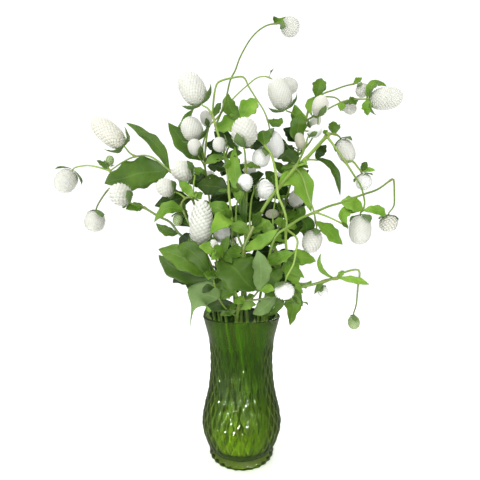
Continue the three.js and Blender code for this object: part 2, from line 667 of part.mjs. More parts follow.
    leaves: [
      leaf([103, 9, 474], [110, 10, 502], 19, { face: FRONT }),
      leaf([103, 9, 474], [95, 0, 445], 10, { via: [91, 2, 462], face: FRONT }),
      leaf([80, 10, 415], [72, 4, 463], 19, { face: FRONT }),
      leaf([79, 10, 408], [78, -12, 444], 22, { via: [74, -8, 426], face: FRONT }),
      leaf([80, 10, 412], [57, 8, 432], 20, INSIDE),
      leaf([163, -10, 463], [190, -9, 480], 12, { via: [172, -9, 483], face: FRONT }),
      leaf([163, -10, 463], [165, -9, 442], 14, { via: [164, -9, 452], face: FRONT }),
      leaf([133, -6, 461], [130, -8, 448], 10, { face: FRONT }),
      leaf([152, -9, 463], [139, -12, 455], 12, { face: FRONT }),
      leaf([152, 5, 491], [164, 6, 500], 8, { face: FRONT }),
      leaf([48, 16, 280], [82, -26, 297], 24, { via: [66, -6, 294], face: FRONT }),
      leaf([58, 14, 320], [94, 6, 338], 24, INSIDE),
      leaf([48, 16, 285], [86, 44, 300], 28),
      leaf([68, 12, 360], [98, 44, 380], 26),
      leaf([60, 14, 330], [34, 42, 350], 24),
      leaf([38, 18, 235], [72, 46, 238], 28),
      leaf([76, 10, 395], [52, 34, 420], 22),
      leaf([40, 18, 243], [78, 0, 258], 28, INSIDE),
      leaf([39, 18, 238], [70, 2, 218], 28, INSIDE),
      leaf([50, 16, 290], [18, 4, 306], 26, INSIDE),
      leaf([44, 17, 262], [14, 6, 258], 24, INSIDE),
      leaf([63, 13, 340], [36, 0, 362], 24, INSIDE),
      leaf([54, 15, 305], [22, 0, 330], 24, INSIDE),
      leaf([56, 14, 312], [80, -22, 320], 18, { via: [70, -16, 310], face: FRONT }),
    ],
  },
  {
    name: "stem_right_long", azimuth: 302, reach: 38, top: 1.1,
    route: [[22, -52, 215], [28, -68, 248], [35, -80, 278], [48, -81, 289], [63, -79, 299],
      [79, -77, 306], [95, -73, 313], [108, -70, 317], [121, -67, 322], [137, -63, 328],
      [158, -52, 336], [178, -42, 349]],
    limbs: [
      limb([178, -42, 349], [[183, -40, 350], [188, -32, 335], [191, -25, 321]],
        head("head_striped", [187, -20, 309], [186, -20, 290], 22)),
      limb([79, -77, 306], [[93, -73, 302], [110, -69, 295]]),
    ],
    leaves: [
      leaf([110, -69, 295], [119, -66, 290], 5, { face: FRONT }),
      leaf([28, -68, 248], [56, -76, 262], 14, { face: FRONT }),
    ],
  },
  {
    name: "stem_right_hanging", azimuth: 345, reach: 36, top: 1.5,
    route: [[44, -24, 204], [63, -44, 219], [88, -48, 226], [106, -46, 231], [114, -45, 232]],
    limbs: [
      limb([114, -45, 232], [[118, -42, 237], [137, -40, 242], [142, -40, 238], [140, -40, 221],
        [138, -40, 200]],
      head("head_hanging_low", [135, -40, 186], [135, -40, 171], 14)),
      limb([98, -47, 229], [],
        head("head_small_low", [97, -41, 221], [99, -39, 210], 13)),
    ],
    leaves: [
      leaf([114, -45, 232], [153, -42, 224], 9, { via: [134, -46, 230], face: FRONT }),
      leaf([112, -45, 232], [95, -43, 262], 6, { via: [94, -44, 244], face: FRONT }),
      leaf([114, -45, 232], [121, -47, 241], 6, { face: FRONT }),
      leaf([96, -47, 229], [86, -46, 213], 6, { face: FRONT }),
      leaf([63, -44, 219], [86, -14, 222], 24),
      leaf([50, -32, 209], [84, -26, 196], 22),
    ],
  },
  {
    name: "stem_front", azimuth: 262, reach: 40, top: 1.8,
    route: [[-4, -60, 204], [-10, -72, 226], [-16, -84, 245], [-21, -87, 259]],
    limbs: [
      limb([-4, -60, 204], [[12, -68, 213], [18, -75, 221]]),
      limb([4, -65, 208], [[22, -68, 211], [38, -68, 216], [52, -67, 222]]),
      limb([-6, -44, 185], [[-18, -56, 198], [-26, -70, 214], [-31, -82, 236]]),
      limb([-21, -87, 259], [],
        head("head_white_bud", [-27, -88, 266], [-31, -88, 275], 9)),
    ],
    leaves: [
      leaf([-21, -87, 259], [12, -104, 225], 38, { via: [-5, -106, 243], face: [0.2, -1, 0.5] }),
      leaf([-21, -87, 259], [-14, -86, 280], 9, { face: FRONT }),
      leaf([-22, -84, 256], [-38, -80, 264], 11, { face: FRONT }),
      leaf([18, -75, 221], [16, -86, 265], 21, { via: [20, -88, 243], face: REAR }),
      leaf([-31, -82, 236], [-89, -82, 266], 24, { via: [-58, -90, 255], face: FRONT, wave: 0.2 }),
      leaf([-25, -68, 210], [-54, -86, 184], 34, { via: [-45, -86, 214], face: [0.4, 1, 0], tail: true }),
      leaf([-29, -76, 225], [-78, -62, 228], 22, { via: [-57, -68, 236], face: FRONT }),
      leaf([-8, -50, 200], [-45, -50, 190], 15, { via: [-26, -54, 202], face: FRONT }),
      leaf([38, -68, 216], [13, -52, 191], 18, { via: [26, -66, 202], face: REAR }),
      leaf([52, -67, 222], [53, -70, 182], 18, { via: [56, -71, 204], face: [0.3, -1, 0], wave: 0.2 }),
      leaf([52, -67, 222], [67, -71, 203], 12, { face: FRONT }),
      leaf([46, -67, 220], [28, -60, 190], 9, { via: [40, -72, 204], face: FRONT }),
    ],
  },
  {
    name: "stem_back", azimuth: 90, reach: 36, top: 1.5,
    route: [[2, 42, 230], [6, 50, 290], [8, 56, 340], [10, 60, 366]],
    limbs: [
      limb([10, 60, 366], [],
        head("head_back_top", [10, 62, 378], [11, 66, 404], 26)),
      limb([4, 46, 258], [[-22, 56, 300], [-40, 61, 345]],
        head("head_back_left", [-46, 63, 366], [-54, 66, 388], 24)),
      limb([6, 50, 290], [[34, 62, 320], [50, 66, 350]],
        head("head_back_right", [56, 67, 364], [63, 70, 387], 25)),
      limb([3, 44, 244], [[-8, 64, 262]],
        head("head_back_low", [-16, 78, 274], [-23, 93, 294], 24)),
      limb([3, 44, 240], [[20, 62, 256], [38, 72, 270]],
        head("head_back_side", [54, 76, 284], [70, 80, 302], 23)),
    ],
    leaves: [
      leaf([2, 42, 230], [-38, 72, 232], 28),
      leaf([2, 42, 230], [34, 80, 226], 28),
      leaf([6, 50, 290], [-20, 86, 318], 26, { face: BACK }),
      leaf([8, 56, 335], [28, 92, 340], 26, { face: BACK }),
      leaf([2, 40, 215], [-6, 84, 210], 26),
      leaf([-24, 57, 306], [-58, 74, 316], 24, { face: BACK }),
      leaf([36, 62, 324], [72, 78, 330], 24, { face: BACK }),
      leaf([4, 46, 262], [-30, 20, 252], 28, INSIDE),
      leaf([6, 50, 290], [36, 24, 282], 28, INSIDE),
      leaf([6, 52, 300], [-26, 30, 316], 26, INSIDE),
      leaf([8, 56, 340], [34, 30, 352], 26, INSIDE),
      leaf([8, 56, 345], [-22, 36, 366], 26, INSIDE),
      leaf([2, 42, 225], [34, 24, 216], 28, INSIDE),
      leaf([2, 42, 218], [-30, 26, 206], 28, INSIDE),
      leaf([10, 60, 364], [33, 38, 378], 22, INSIDE),
      leaf([10, 60, 364], [-14, 40, 382], 22, INSIDE),
    ],
  },
];

// The bracts of a head stand round its base, clear of its scales. Their places go with its width
// and length, and its limb ends inside their middle.
const SEAT = GAP + BRACT / 2;
const BRACT_END = [0.68, 0.3];
const BRACT_MIDDLE = [0.45, 0.03];
const BRACT_WIDTH = 0.36;

function headBracts(flower) {
  const { wide } = flower;
  const { start, axis, length, side } = headFrame(flower);
  const way = side.applyAxisAngle(axis, random() * Math.PI);
  const at = (out, along) => start.clone().addScaledVector(way, out).addScaledVector(axis, along);
  const pair = ([out, along]) => [-1, 1].map((k) => at(k * wide * out, length * along));
  return bractPair(pair(BRACT_END), pair(BRACT_MIDDLE), at(0, -SEAT), wide * BRACT_WIDTH);
}

function nearest(lines, [x, y, z]) {
  const target = new THREE.Vector3(x, y, z);
  let best = null;
  for (const line of lines) {
    for (const p of line) {
      if (!best || p.distanceTo(target) < best.distanceTo(target)) best = p;
    }
  }
  return best.clone();
}

const STEM_SIDES = 4;
const LIMB_SIDES = 3;
const LIMB_RADIUS = 1.3; // at its start, on a stem that is no thinner itself
const LIMB_END = 1;
const ARCH = 0.08; // how far a leaf with no via arches up, against its length

function leafyStem(plant) {
  const main = mainLine(plant);
  const lines = [main];
  const pieces = [tubeGeometry(main, STEM_FOOT, plant.top, STEM_SIDES)];
  for (const { at, route, flower } of plant.limbs) {
    const points = [nearest(lines, at).toArray(), ...route];
    if (flower) {
      const { start, axis } = headFrame(flower);
      const before = (distance) => start.clone().addScaledVector(axis, -distance).toArray();
      points.push(before(NECK), before(flower.fused ? -NECK : SEAT));
      pieces.push(headBracts(flower));
      if (flower.fused) pieces.push(headGeometry(flower));
    }
    const line = smooth(points);
    lines.push(line);
    pieces.push(tubeGeometry(line, Math.min(plant.top, LIMB_RADIUS), LIMB_END, LIMB_SIDES));
  }
  for (const { at, via, tip, ...rest } of plant.leaves) {
    const root = nearest(lines, at);
    const end = vec(tip);
    const arch = ARCH * root.distanceTo(end);
    const middle = via ? vec(via) : root.clone().lerp(end, 0.5).addScaledVector(vec(UP), arch);
    pieces.push(bladeGeometry(root, { ...rest, via: middle, tip: end }));
  }
  const joined = pieces.map(solid).reduce((whole, piece) => whole.add(piece));
  const trim = (made) => made.asOriginal().simplify(FINEST);
  return trim(trim(joined));
}

// The water: the inside of the vase up to its level, less a plain hole for each stem.

function waterGeometry() {
  const shell = new Shell();
  const levels = INNER_HEIGHTS.filter((z) => z < WATER_LEVEL).reverse();
  const bottom = shell.point(vec([0, 0, FLOOR_Z + GAP]));
  let last = shell.ring(circle(FLOOR_RADIUS - WATER_INSET, FLOOR_Z + GAP, INNER_TURN));
  shell.fan(bottom, last);
  for (const z of [...levels, WATER_LEVEL]) {
    const ring = shell.ring(circle(innerRadius(z) - WATER_GAP, z, INNER_TURN));
    shell.band(last, ring);
    last = ring;
  }
  shell.fan(shell.point(vec([0, 0, WATER_LEVEL])), last, true);
  return shell.geometry();
}

function holedWater() {
  let water = solid(waterGeometry());
  for (const plant of STEMS) {
    const line = insideVase(plant);
    const below = line[0].clone().sub(line[1]).setLength(FLOOR_Z / 2);
    line.unshift(line[0].clone().add(below));
    const hole = STEM_FOOT + HOLE_CLEARANCE;
    water = water.subtract(solid(tubeGeometry(line, hole, hole, STEM_SIDES)));
  }
  return geometryOf(water.simplify(SLIVER));
}

// Finishes and the assembly.

const GLASS = { color: "#3f7a1c", roughness: 0.08, metalness: 0, transparent: true, opacity: 0.6 };
const WATER = { color: "#b9cfa0", roughness: 0.05, metalness: 0, transparent: true, opacity: 0.3 };
const GREEN = { color: "#5f9436", roughness: 0.6, metalness: 0 };
const WHITE = { color: "#eeefe4", roughness: 0.85, metalness: 0 };

const vase = new THREE.Group();

function addPiece(name, geometry, finish) {
  const mesh = new THREE.Mesh(geometry, new THREE.MeshStandardMaterial(finish));
  mesh.name = name;
  vase.add(mesh);
}

addPiece("vase", vaseGeometry(), GLASS);
addPiece("water", holedWater(), WATER);
for (const plant of STEMS) {
  addPiece(plant.name, geometryOf(leafyStem(plant)), GREEN);
  for (const { flower } of plant.limbs) {
    if (flower && !flower.fused) addPiece(flower.name, headGeometry(flower), WHITE);
  }
}

export default vase;
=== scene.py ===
"""White globe amaranth in a green pressed-glass vase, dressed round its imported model.

Sizes in the tables are in millimetres and become metres in the meshes. The front is -Y.
"""
import math
import random
from contextlib import contextmanager

import bpy
from mathutils import Matrix, Vector
from mathutils.kdtree import KDTree


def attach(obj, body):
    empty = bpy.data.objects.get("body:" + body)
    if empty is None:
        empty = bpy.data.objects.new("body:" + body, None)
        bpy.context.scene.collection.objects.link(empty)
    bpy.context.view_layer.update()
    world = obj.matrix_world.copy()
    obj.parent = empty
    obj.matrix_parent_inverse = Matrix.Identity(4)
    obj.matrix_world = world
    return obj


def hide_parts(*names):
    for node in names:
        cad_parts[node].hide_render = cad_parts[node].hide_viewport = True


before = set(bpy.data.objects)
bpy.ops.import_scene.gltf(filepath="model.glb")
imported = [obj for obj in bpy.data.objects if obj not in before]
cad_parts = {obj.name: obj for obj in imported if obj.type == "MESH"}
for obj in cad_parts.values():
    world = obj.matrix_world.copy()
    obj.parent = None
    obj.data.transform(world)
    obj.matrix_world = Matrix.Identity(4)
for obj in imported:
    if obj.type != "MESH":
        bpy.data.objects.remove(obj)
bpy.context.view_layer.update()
MM = 0.001

# Driving sizes of the vase, as in the part's source.
VASE_HEIGHT = 180
COLUMNS = 27
DIAMOND_ROWS = 11
DIAMONDS_FROM = 20
DIAMONDS_TO = 147
GROOVE = 1.0
PILLOW = 0.6
WALL = 3.2
FLOOR_Z = 13
FLOOR_RADIUS = 33
FOOT_RADIUS = 41.5
FOOT_TOP = 7
WAIST_RADIUS = 36
FLUTE = 0.9
PROFILE = [  # height and outer radius
    (12, 42.5), (20, 47), (30, 50), (39, 51.8), (50, 51), (60, 49.1), (71, 46.5), (84, 43.6),
    (97, 42.2), (111, 41.1), (130, 41.2), (140, 42.5), (151, 43.8), (162, 46.5), (172, 49.2),
    (VASE_HEIGHT, 51.1)]
CELLS = 6  # mesh cells along each half side of a diamond
LIP = 1.5  # radius of the rounded rim
WATER_LEVEL = 118
WATER_GAP = 0.4

# The bunch: where a stem runs inside the vase, and the sizes of stems and leaves.
FOOT_SPREAD, NECK_SPREAD, SHOULDER_SPREAD = 0.74, 0.84, 0.87
NECK_Z, SHOULDER_Z = 115, 145
FOOT_LIFT = 0.85
FOOT_TURN, NECK_TURN = 52, 14
STEM_FOOT = 1.9
STEM_STEP = 3.5  # distance between the rings of a stem
LIMB_RADIUS, LIMB_END = 1.3, 0.8
NECK = 4  # straight length under a head
JOINT_SWELL = 0.45
JOINT_LENGTH = 3.2
JOINT_BLUSH = 4  # how far the reddish tint of a joint reaches
PETIOLE = 1.1
CUP = 0.15
CURL = 0.07  # how far a leaf's edges turn down or up, against its width
LEAF_WAVE = 0.1
WAVES = 8
OFFSET = 2.2  # between the waves of a leaf's two edges
EDGE_WAVE = 0.09
RIPPLE = 0.05  # against the leaf's width
ARCH = 0.08
LEAF_THICKNESS = 0.45
# Painted shade: a dim leaf keeps only this share of its drawn tone.
SHADE = 0.12  # share of its tone that a leaf keeps in the shade

# Flower heads. Their bracts are measured against the head's width.
SWELL = 2.3  # exponent of a head's rounded outline
BRACT_SHARE = 0.17
BRACT_SIZES = (3.2, 7)
BRACT_BREADTH = 0.8
BRACT_LAYERS = 7
BRACT_SEAT = 0.93  # how far out the bracts' roots lie, against the outline
OPENING = 15  # degrees between a bract and the head's surface
OPENING_AT_TIP = 20
CORE_SHARE = 0.97
GOLDEN = math.pi * (3 - math.sqrt(5))

# The way that a leaf's upper side looks.
UP = (0, 0, 1)
FRONT = (0, -1, 0.25)
BACK = (0, 1, 0.25)
REAR = (0, 1, -0.1)


def leaf(at, tip, wide, via=None, face=FRONT, wave=LEAF_WAVE, tail=False, dim=False, tone=None):
    """A leaf, with its tone drawn unless it is given. The tone is painted shade and light: 0 is deep shade
    and 1 full light.
    """
    return dict(at=at, tip=tip, wide=wide, via=via, face=face, wave=wave, tail=tail, dim=dim, tone=tone)


# A leaf in painted shade.
def dim(*values, **more):
    return leaf(*values, dim=True, **more)


def head(name, base, tip, wide, look="white", bract=BRACT_SHARE, opening=OPENING, fused=False):
    return dict(name="head_" + name, base=base, tip=tip, wide=wide, look=look, bract=bract,
                opening=opening, fused=fused)


def limb(at, route, flower=None):
    return dict(at=at, route=route, flower=flower)


def stem(name, azimuth, reach, top, route, limbs, leaves=(), further=(), mouth=(), light=1):
    """A plant. Its further leaves aren't in the part's source. A leaf in the vase's mouth has its
    turn from the stem, its reach and its height. Its light darkens its drawn leaves: painted shade."""
    return dict(name="stem_" + name, azimuth=azimuth, reach=reach, top=top, route=route, limbs=limbs,
                leaves=leaves, further=further, mouth=mouth, light=light)


# Points are [right, back, up]. A limb or a leaf starts at the nearest point of its own stem.
STEMS = [
  stem("far_left", azimuth=165, reach=38, top=1.5,
    route=[[-42, 6, 228], [-52, -4, 290], [-64, -14, 333], [-75, -18, 352], [-92, -20, 367]],
    limbs=[
      limb([-92, -20, 367], [[-114, -24, 383], [-134, -22, 384], [-151, -21, 377], [-168, -18, 367]]),
      limb([-134, -22, 384], [[-142, -21, 389]],
        head("long_left", [-151, -20, 399], [-187, -20, 430], 28, "cream", bract=0.22, opening=18)),
      limb([-168, -18, 367], [[-187, -15, 373], [-199, -14, 375], [-212, -12, 374]],
        head("far_left", [-221, -10, 369], [-237, -10, 343], 26)),
      limb([-168, -18, 367], [], head("bud_left", [-170, -17, 375], [-168, -16, 386], 10, "green")),
      limb([-168, -18, 367], [[-162, -20, 350], [-171, -20, 341], [-180, -20, 328]],
        head("low_left", [-185, -20, 315], [-188, -20, 290], 25))],
    leaves=[
      leaf([-92, -20, 367], [-168, -34, 347], 44, [-130, -27, 360], face=[0, -1, 0.15]),
      leaf([-92, -20, 367], [-158, 8, 440], 18, [-118, -4, 410], face=[0.3, -1, 0.3]),
      dim([-64, -14, 333], [-108, -30, 320], 24, [-84, -26, 328]),
      dim([-52, -4, 290], [-98, 26, 300], 24, face=UP),
      dim([-42, 6, 228], [-94, 12, 240], 26, face=UP),
      leaf([-168, -18, 367], [-185, -19, 380], 7)],
    further=[
      leaf([-36, 10, 186], [-38, 16, 167], 15, [-37, 15, 177], tone=0.04)],
    mouth=[(8, 38, 164)]),
  stem("left_low", azimuth=200, reach=38, top=1.4, light=0.8,
    route=[[-42, -22, 225], [-58, -33, 268], [-76, -40, 286], [-86, -41, 299], [-100, -40, 306],
           [-118, -38, 317]],
    limbs=[
      limb([-118, -38, 317], [],
        head("left_leafy", [-129, -58, 321], [-146, -62, 335], 25, bract=0.25, opening=26))],
    leaves=[
      leaf([-118, -38, 317], [-135, -52, 313], 13),
      dim([-44, -24, 232], [-88, -30, 238], 22),
      dim([-58, -33, 268], [-92, -20, 250], 22, face=UP),
      dim([-62, -34, 274], [-34, -20, 290], 20)],
    further=[
      leaf([-76, -40, 286], [-104, -38, 298], 12, [-90, -38, 288], tone=0.3)]),
  stem("left_mid", azimuth=217, reach=36, top=1,
    route=[[-31, -40, 228], [-42, -50, 262], [-60, -54, 294], [-67, -55, 309], [-70, -55, 317],
           [-65, -55, 325], [-56, -54, 326], [-46, -52, 319]],
    limbs=[
      limb([-56, -54, 326], [[-56, -53, 334], [-56, -50, 346]],
        head("left_mid", [-59, -46, 355], [-81, -43, 364], 24, bract=0.26, opening=28)),
      limb([-66, -55, 325], [[-71, -53, 330]],
        head("left_behind", [-79, -51, 334], [-97, -53, 342], 21, bract=0.24, opening=24)),
      limb([-70, -55, 317], [[-72, -56, 311]],
        head("green_bud", [-73, -57, 306], [-74, -57, 294], 11, "green"))],
    leaves=[
      leaf([-56, -54, 326], [-72, -60, 344], 12),
      leaf([-66, -55, 309], [-99, -62, 297], 15, [-82, -66, 312]),
      dim([-52, -53, 280], [-74, -50, 268], 18)],
    further=[
      leaf([-60, -54, 294], [-66, -50, 322], 14, [-70, -50, 308], tone=0.3)]),
  stem("spiky", azimuth=240, reach=38, top=1.8,
    route=[[-24, -44, 215], [-37, -58, 240], [-45, -68, 260]],
    limbs=[
      limb([-45, -68, 260], [],
        head("spiky", [-46, -72, 269], [-43, -75, 317], 24, "spiky", bract=0.29, opening=30)),
      limb([-28, -49, 224], [[-27, -54, 248], [-24, -53, 266]],
        head("under_leaf", [-22, -52, 276], [-24, -51, 297], 20, "bright"))]),
  stem("left_upper", azimuth=140, reach=38, top=1.3,
    route=[[-34, 22, 240], [-40, 18, 300], [-46, 12, 350], [-50, 7, 385], [-48, 8, 415], [-47, 8, 427]],
    limbs=[
      limb([-47, 8, 427], [], head("peeping", [-46, 8, 436], [-51, 8, 455], 16)),
      limb([-50, 7, 385], [[-53, -8, 398]], head("left_upper", [-57, -18, 407], [-69, -20, 432], 28)),
      limb([-47, 11, 366], [[-48, -12, 374], [-51, -24, 379]],
        head("small_upper", [-54, -30, 384], [-61, -31, 401], 18)),
      limb([-50, 7, 385], [[-54, 18, 412], [-46, 22, 440], [-36, 24, 452], [-21, 24, 470],
        [-8, 24, 485], [9, 25, 501], [22, 25, 511], [35, 25, 513], [46, 25, 508]],
        head("arching", [56, 25, 503], [79, 25, 496], 22))],
    leaves=[
      leaf([-50, 7, 388], [-99, 3, 438], 28, [-74, 4, 408]),
      leaf([-50, 7, 388], [-67, 22, 466], 20, [-78, 17, 430]),
      dim([-40, 18, 300], [-70, 44, 330], 26, face=BACK),
      dim([-46, 12, 350], [-40, 52, 372], 24, face=UP),
      leaf([40, 25, 512], [46, 26, 525], 6, face=UP),
      dim([-34, 22, 240], [-62, 52, 236], 26, face=UP),
      dim([-38, 19, 280], [4, 14, 296], 26),
      dim([-44, 14, 330], [-4, 22, 352], 26),
      dim([-40, 18, 305], [-2, 30, 322], 26),
      dim([-50, 7, 385], [-22, -4, 391], 20),
      dim([-49, 8, 410], [-22, 10, 402], 20)],
    further=[
      leaf([-46, 12, 352], [-78, 10, 362], 22, [-62, 6, 362], tone=0.12)],
    mouth=[(-16, 37, 158), (14, 38, 160)]),
  stem("tall", azimuth=250, reach=22, top=1.3,
    route=[[-10, -34, 225], [-11, -44, 267], [-12, -45, 301], [-15, -42, 331], [-17, -40, 356],
           [-21, -36, 383], [-28, -33, 405], [-36, -32, 432]],
    limbs=[
      limb([-36, -32, 432], [[-42, -33, 440]],
        head("upper_left", [-50, -34, 446], [-70, -36, 478], 32, opening=8)),
      limb([-36, -32, 432], [[-34, -30, 457], [-31, -29, 471], [-26, -28, 476], [-14, -27, 480],
        [2, -26, 482], [9, -26, 470], [19, -26, 454], [28, -24, 441], [34, -20, 428]],
        head("hanging_mid", [37, -16, 418], [47, -15, 386], 24, "bright")),
      limb([-31, -33, 417], [[-21, -20, 454], [-15, -12, 485], [-8, -8, 502], [-2, -4, 521],
        [10, -2, 544], [22, 0, 559], [35, 0, 567], [47, 0, 569]],
        head("top", [54, 0, 568], [76, 0, 561], 23)),
      limb([-20, -37, 378], [[-17, -44, 385]], head("at_stem", [-19, -51, 387], [-33, -51, 390], 17))],
    leaves=[
      leaf([-12, -45, 302], [-40, -52, 319], 20, [-24, -50, 312]),
      leaf([-12, -45, 300], [-33, -88, 282], 20, [-20, -73, 297], tone=1),
      leaf([-15, -42, 335], [-56, -30, 345], 28, tone=0.12),
      leaf([46, 0, 569], [62, 12, 588], 10, [50, 9, 578]),
      leaf([46, 0, 569], [43, 0, 579], 6),
      leaf([-36, -32, 430], [-25, -36, 445], 9),
      dim([-18, -39, 362], [-42, -34, 368], 18),
      leaf([34, -20, 430], [52, -16, 436], 13, [45, -19, 428])]),
  stem("centre", azimuth=270, reach=20, top=1.4,
    route=[[2, -30, 230], [4, -34, 268], [5, -28, 300], [6, -26, 335], [5, -36, 368]],
    limbs=[
      limb([5, -36, 368], [[4, -48, 378]],
        head("centre", [3, -57, 385], [3, -59, 414], 30, bract=0.2, opening=22)),
      limb([4, -31, 285], [[-2, -20, 330], [-6, -14, 375], [-3, -12, 415], [0, -12, 438]])],
    leaves=[
      leaf([5, -28, 312], [-8, -36, 392], 16, [-7, -40, 352], face=[0, -1, 0], tone=1),
      leaf([0, -12, 436], [-18, -6, 473], 20, [-15, -8, 452]),
      leaf([0, -12, 436], [20, -8, 464], 24, tone=1),
      leaf([-1, -12, 428], [-36, -6, 424], 26, [-18, -8, 430]),
      dim([-6, -14, 375], [-28, 20, 370], 22, face=UP),
      dim([-4, -17, 345], [18, 14, 352], 22, face=UP),
      leaf([5, -31, 289], [2, -44, 331], 9, [2, -42, 308], face=[0, -1, 0])],
    further=[
      leaf([6, -28, 300], [34, 6, 334], 22, [20, -8, 318], tone=0.06),
      leaf([-2, -20, 330], [-26, 4, 352], 18, [-12, -8, 342], tone=0.06),
      leaf([-4, -13, 395], [-38, 8, 428], 20, [-22, 0, 415], tone=0.1)]),
  stem("star", azimuth=281, reach=36, top=2,
    route=[[4, -48, 215], [1, -60, 245], [2, -64, 266], [8, -66, 281], [17, -66, 299], [33, -64, 325],
           [63, -60, 361], [72, -60, 368], [100, -56, 399]],
    limbs=[
      limb([100, -56, 399], [[109, -50, 401]],
        head("right_front", [118, -45, 396], [129, -45, 370], 20)),
      limb([98, -56, 397], [[107, -60, 381], [118, -59, 366], [127, -58, 353], [137, -55, 340],
        [141, -53, 330], [144, -50, 320], [143, -47, 312]],
        head("hanging_right", [141, -45, 306], [140, -45, 273], 26, opening=8)),
      limb([118, -59, 366], [[130, -50, 369], [139, -44, 363]],
        head("right_small", [145, -40, 356], [149, -40, 339], 19, "bright")),
      limb([62, -60, 360], [[68, -64, 348], [74, -66, 326], [80, -66, 310], [83, -64, 297]],
        head("front_right", [84, -60, 288], [76, -60, 264], 22, bract=0.24, opening=24)),
      limb([62, -60, 360], [[72, -56, 381]],
        head("pale_right", [80, -52, 399], [91, -51, 408], 14, "bright")),
      limb([2, -64, 266], [[-5, -62, 285], [-6, -59, 316]],
        head("centre_small", [2, -57, 334], [6, -56, 351], 17, "bright", bract=0.26, opening=26)),
      limb([8, -66, 283], [[9, -66, 300], [11, -61, 322], [14, -53, 334]],
        head("beside_stem", [18, -48, 340], [36, -45, 333], 21, "bright", bract=0.28, opening=30)),
      limb([72, -60, 368], [[79, -54, 370], [87, -50, 371]])],
    leaves=[
      leaf([40, -66, 337], [82, -48, 310], 28, [64, -56, 345], tone=1),
      dim([63, -60, 361], [48, -28, 384], 24),
      leaf([2, -64, 266], [39, -82, 288], 14, [20, -78, 274]),
      leaf([12, -66, 290], [21, -84, 305], 11),
      leaf([83, -64, 297], [121, -42, 272], 18, [104, -46, 286]),
      leaf([109, -50, 400], [108, -46, 418], 14),
      leaf([143, -47, 312], [114, -54, 320], 20, [128, -54, 319], tone=1),
      leaf([143, -47, 311], [121, -60, 289], 12, [118, -56, 308], tone=1),
      leaf([143, -47, 311], [171, -46, 306], 12, [158, -50, 312], tone=1),
      dim([87, -50, 371], [100, -46, 390], 12),
      leaf([87, -50, 371], [118, -42, 330], 10, [109, -42, 364]),
      leaf([100, -56, 399], [92, -61, 398], 8),
      leaf([144, -40, 361], [152, -38, 372], 8),
      leaf([144, -40, 361], [162, -38, 362], 6)]),
  stem("centre_right", azimuth=325, reach=36, top=1.4,
    route=[[38, -36, 215], [50, -56, 252], [49, -66, 281], [49, -71, 298], [45, -73, 312],
           [40, -74, 323], [38, -75, 335], [37, -69, 354], [34, -58, 374], [27, -50, 387]],
    limbs=[
      limb([27, -50, 387], [], head("under_leaf_mid", [26, -43, 386], [21, -35, 368], 22, "bright")),
      limb([40, -40, 222], [[45, -52, 252], [37, -55, 273], [36, -54, 300], [39, -50, 324],
        [42, -42, 342]]),
      limb([49, -69, 288], [[59, -80, 277], [57, -84, 263], [54, -86, 250], [48, -86, 239]],
        head("over_lip", [46, -83, 230], [44, -82, 214], 21, "bright", bract=0.24, opening=20))],
    leaves=[
      leaf([27, -50, 387], [25, -42, 409], 18),
      leaf([42, -42, 342], [30, -28, 364], 13),
      leaf([50, -58, 256], [88, -46, 252], 18),
      dim([37, -55, 273], [62, -40, 290], 16),
      leaf([37, -54, 276], [21, -58, 302], 14),
      leaf([37, -54, 274], [10, -52, 280], 10),
      leaf([47, -52, 244], [27, -54, 219], 16),
      leaf([50, -58, 254], [65, -50, 222], 20),
      dim([27, -50, 387], [9, -34, 391], 13)]),
  stem("right_tall", azimuth=30, reach=36, top=1.5,
    route=[[38, 18, 235], [48, 16, 280], [58, 14, 320], [68, 12, 360], [76, 10, 395], [88, 10, 443],
           [94, 10, 467]],
    limbs=[
      limb([94, 10, 467], [[111, 8, 479], [126, 7, 484], [141, 6, 489], [152, 5, 491]],
        head("right_upper", [159, 5, 489], [168, 4, 475], 17)),
      limb([88, 10, 443], [[97, 2, 446], [112, -2, 452], [123, -5, 457], [137, -7, 462],
        [152, -9, 463]],
        head("far_right", [168, -10, 463], [208, -10, 464], 28)),
      limb([93, 10, 462], [[98, 18, 478], [113, 17, 480], [129, 13, 477], [135, 11, 471]],
        head("right_tiny", [140, 10, 466], [156, 10, 456], 15)),
      limb([76, 10, 395], [[88, -4, 405], [96, -17, 420]],
        head("right_inner", [98, -20, 437], [102, -20, 460], 21, "cream")),
      limb([84, 10, 430], [[93, 22, 434]], head("right_back", [101, 30, 442], [111, 31, 459], 16)),
      limb([86, 10, 437], [[72, 0, 446], [63, -10, 446]],
        head("big_upper", [57, -14, 449], [42, -16, 484], 29)),
      limb([56, 14, 312], [[63, 6, 317]], head("grey", [70, -3, 323], [76, -5, 345], 21, "grey")),
      limb([76, 10, 395], [], head("beige", [79, -9, 398], [74, -9, 418], 13, "beige", fused=True)),
      limb([54, 15, 305], [[54, 2, 312]],
        head("beige_low", [48, -10, 314], [32, -12, 312], 12, "beige", fused=True))],
    leaves=[
      leaf([103, 9, 474], [110, 10, 502], 19),
      leaf([103, 9, 474], [95, 0, 445], 10, [91, 2, 462]),
      leaf([80, 10, 415], [72, 4, 463], 19),
      leaf([79, 10, 408], [78, -12, 444], 22, [74, -8, 426]),
      dim([80, 10, 412], [57, 8, 432], 20),
      leaf([163, -10, 463], [190, -9, 480], 12, [172, -9, 483]),
      leaf([163, -10, 463], [165, -9, 442], 14, [164, -9, 452]),
      leaf([133, -6, 461], [130, -8, 448], 10),
      leaf([152, -9, 463], [139, -12, 455], 12),
      leaf([152, 5, 491], [164, 6, 500], 8),
      dim([48, 16, 280], [82, -26, 297], 24, [66, -6, 294]),
      dim([58, 14, 320], [94, 6, 338], 24),
      dim([48, 16, 285], [86, 44, 300], 28, face=UP),
      dim([68, 12, 360], [98, 44, 380], 26, face=UP),
      dim([60, 14, 330], [34, 42, 350], 24, face=UP),
      dim([38, 18, 235], [72, 46, 238], 28, face=UP),
      leaf([76, 10, 395], [52, 34, 420], 22, face=UP),
      dim([40, 18, 243], [78, 0, 258], 28),
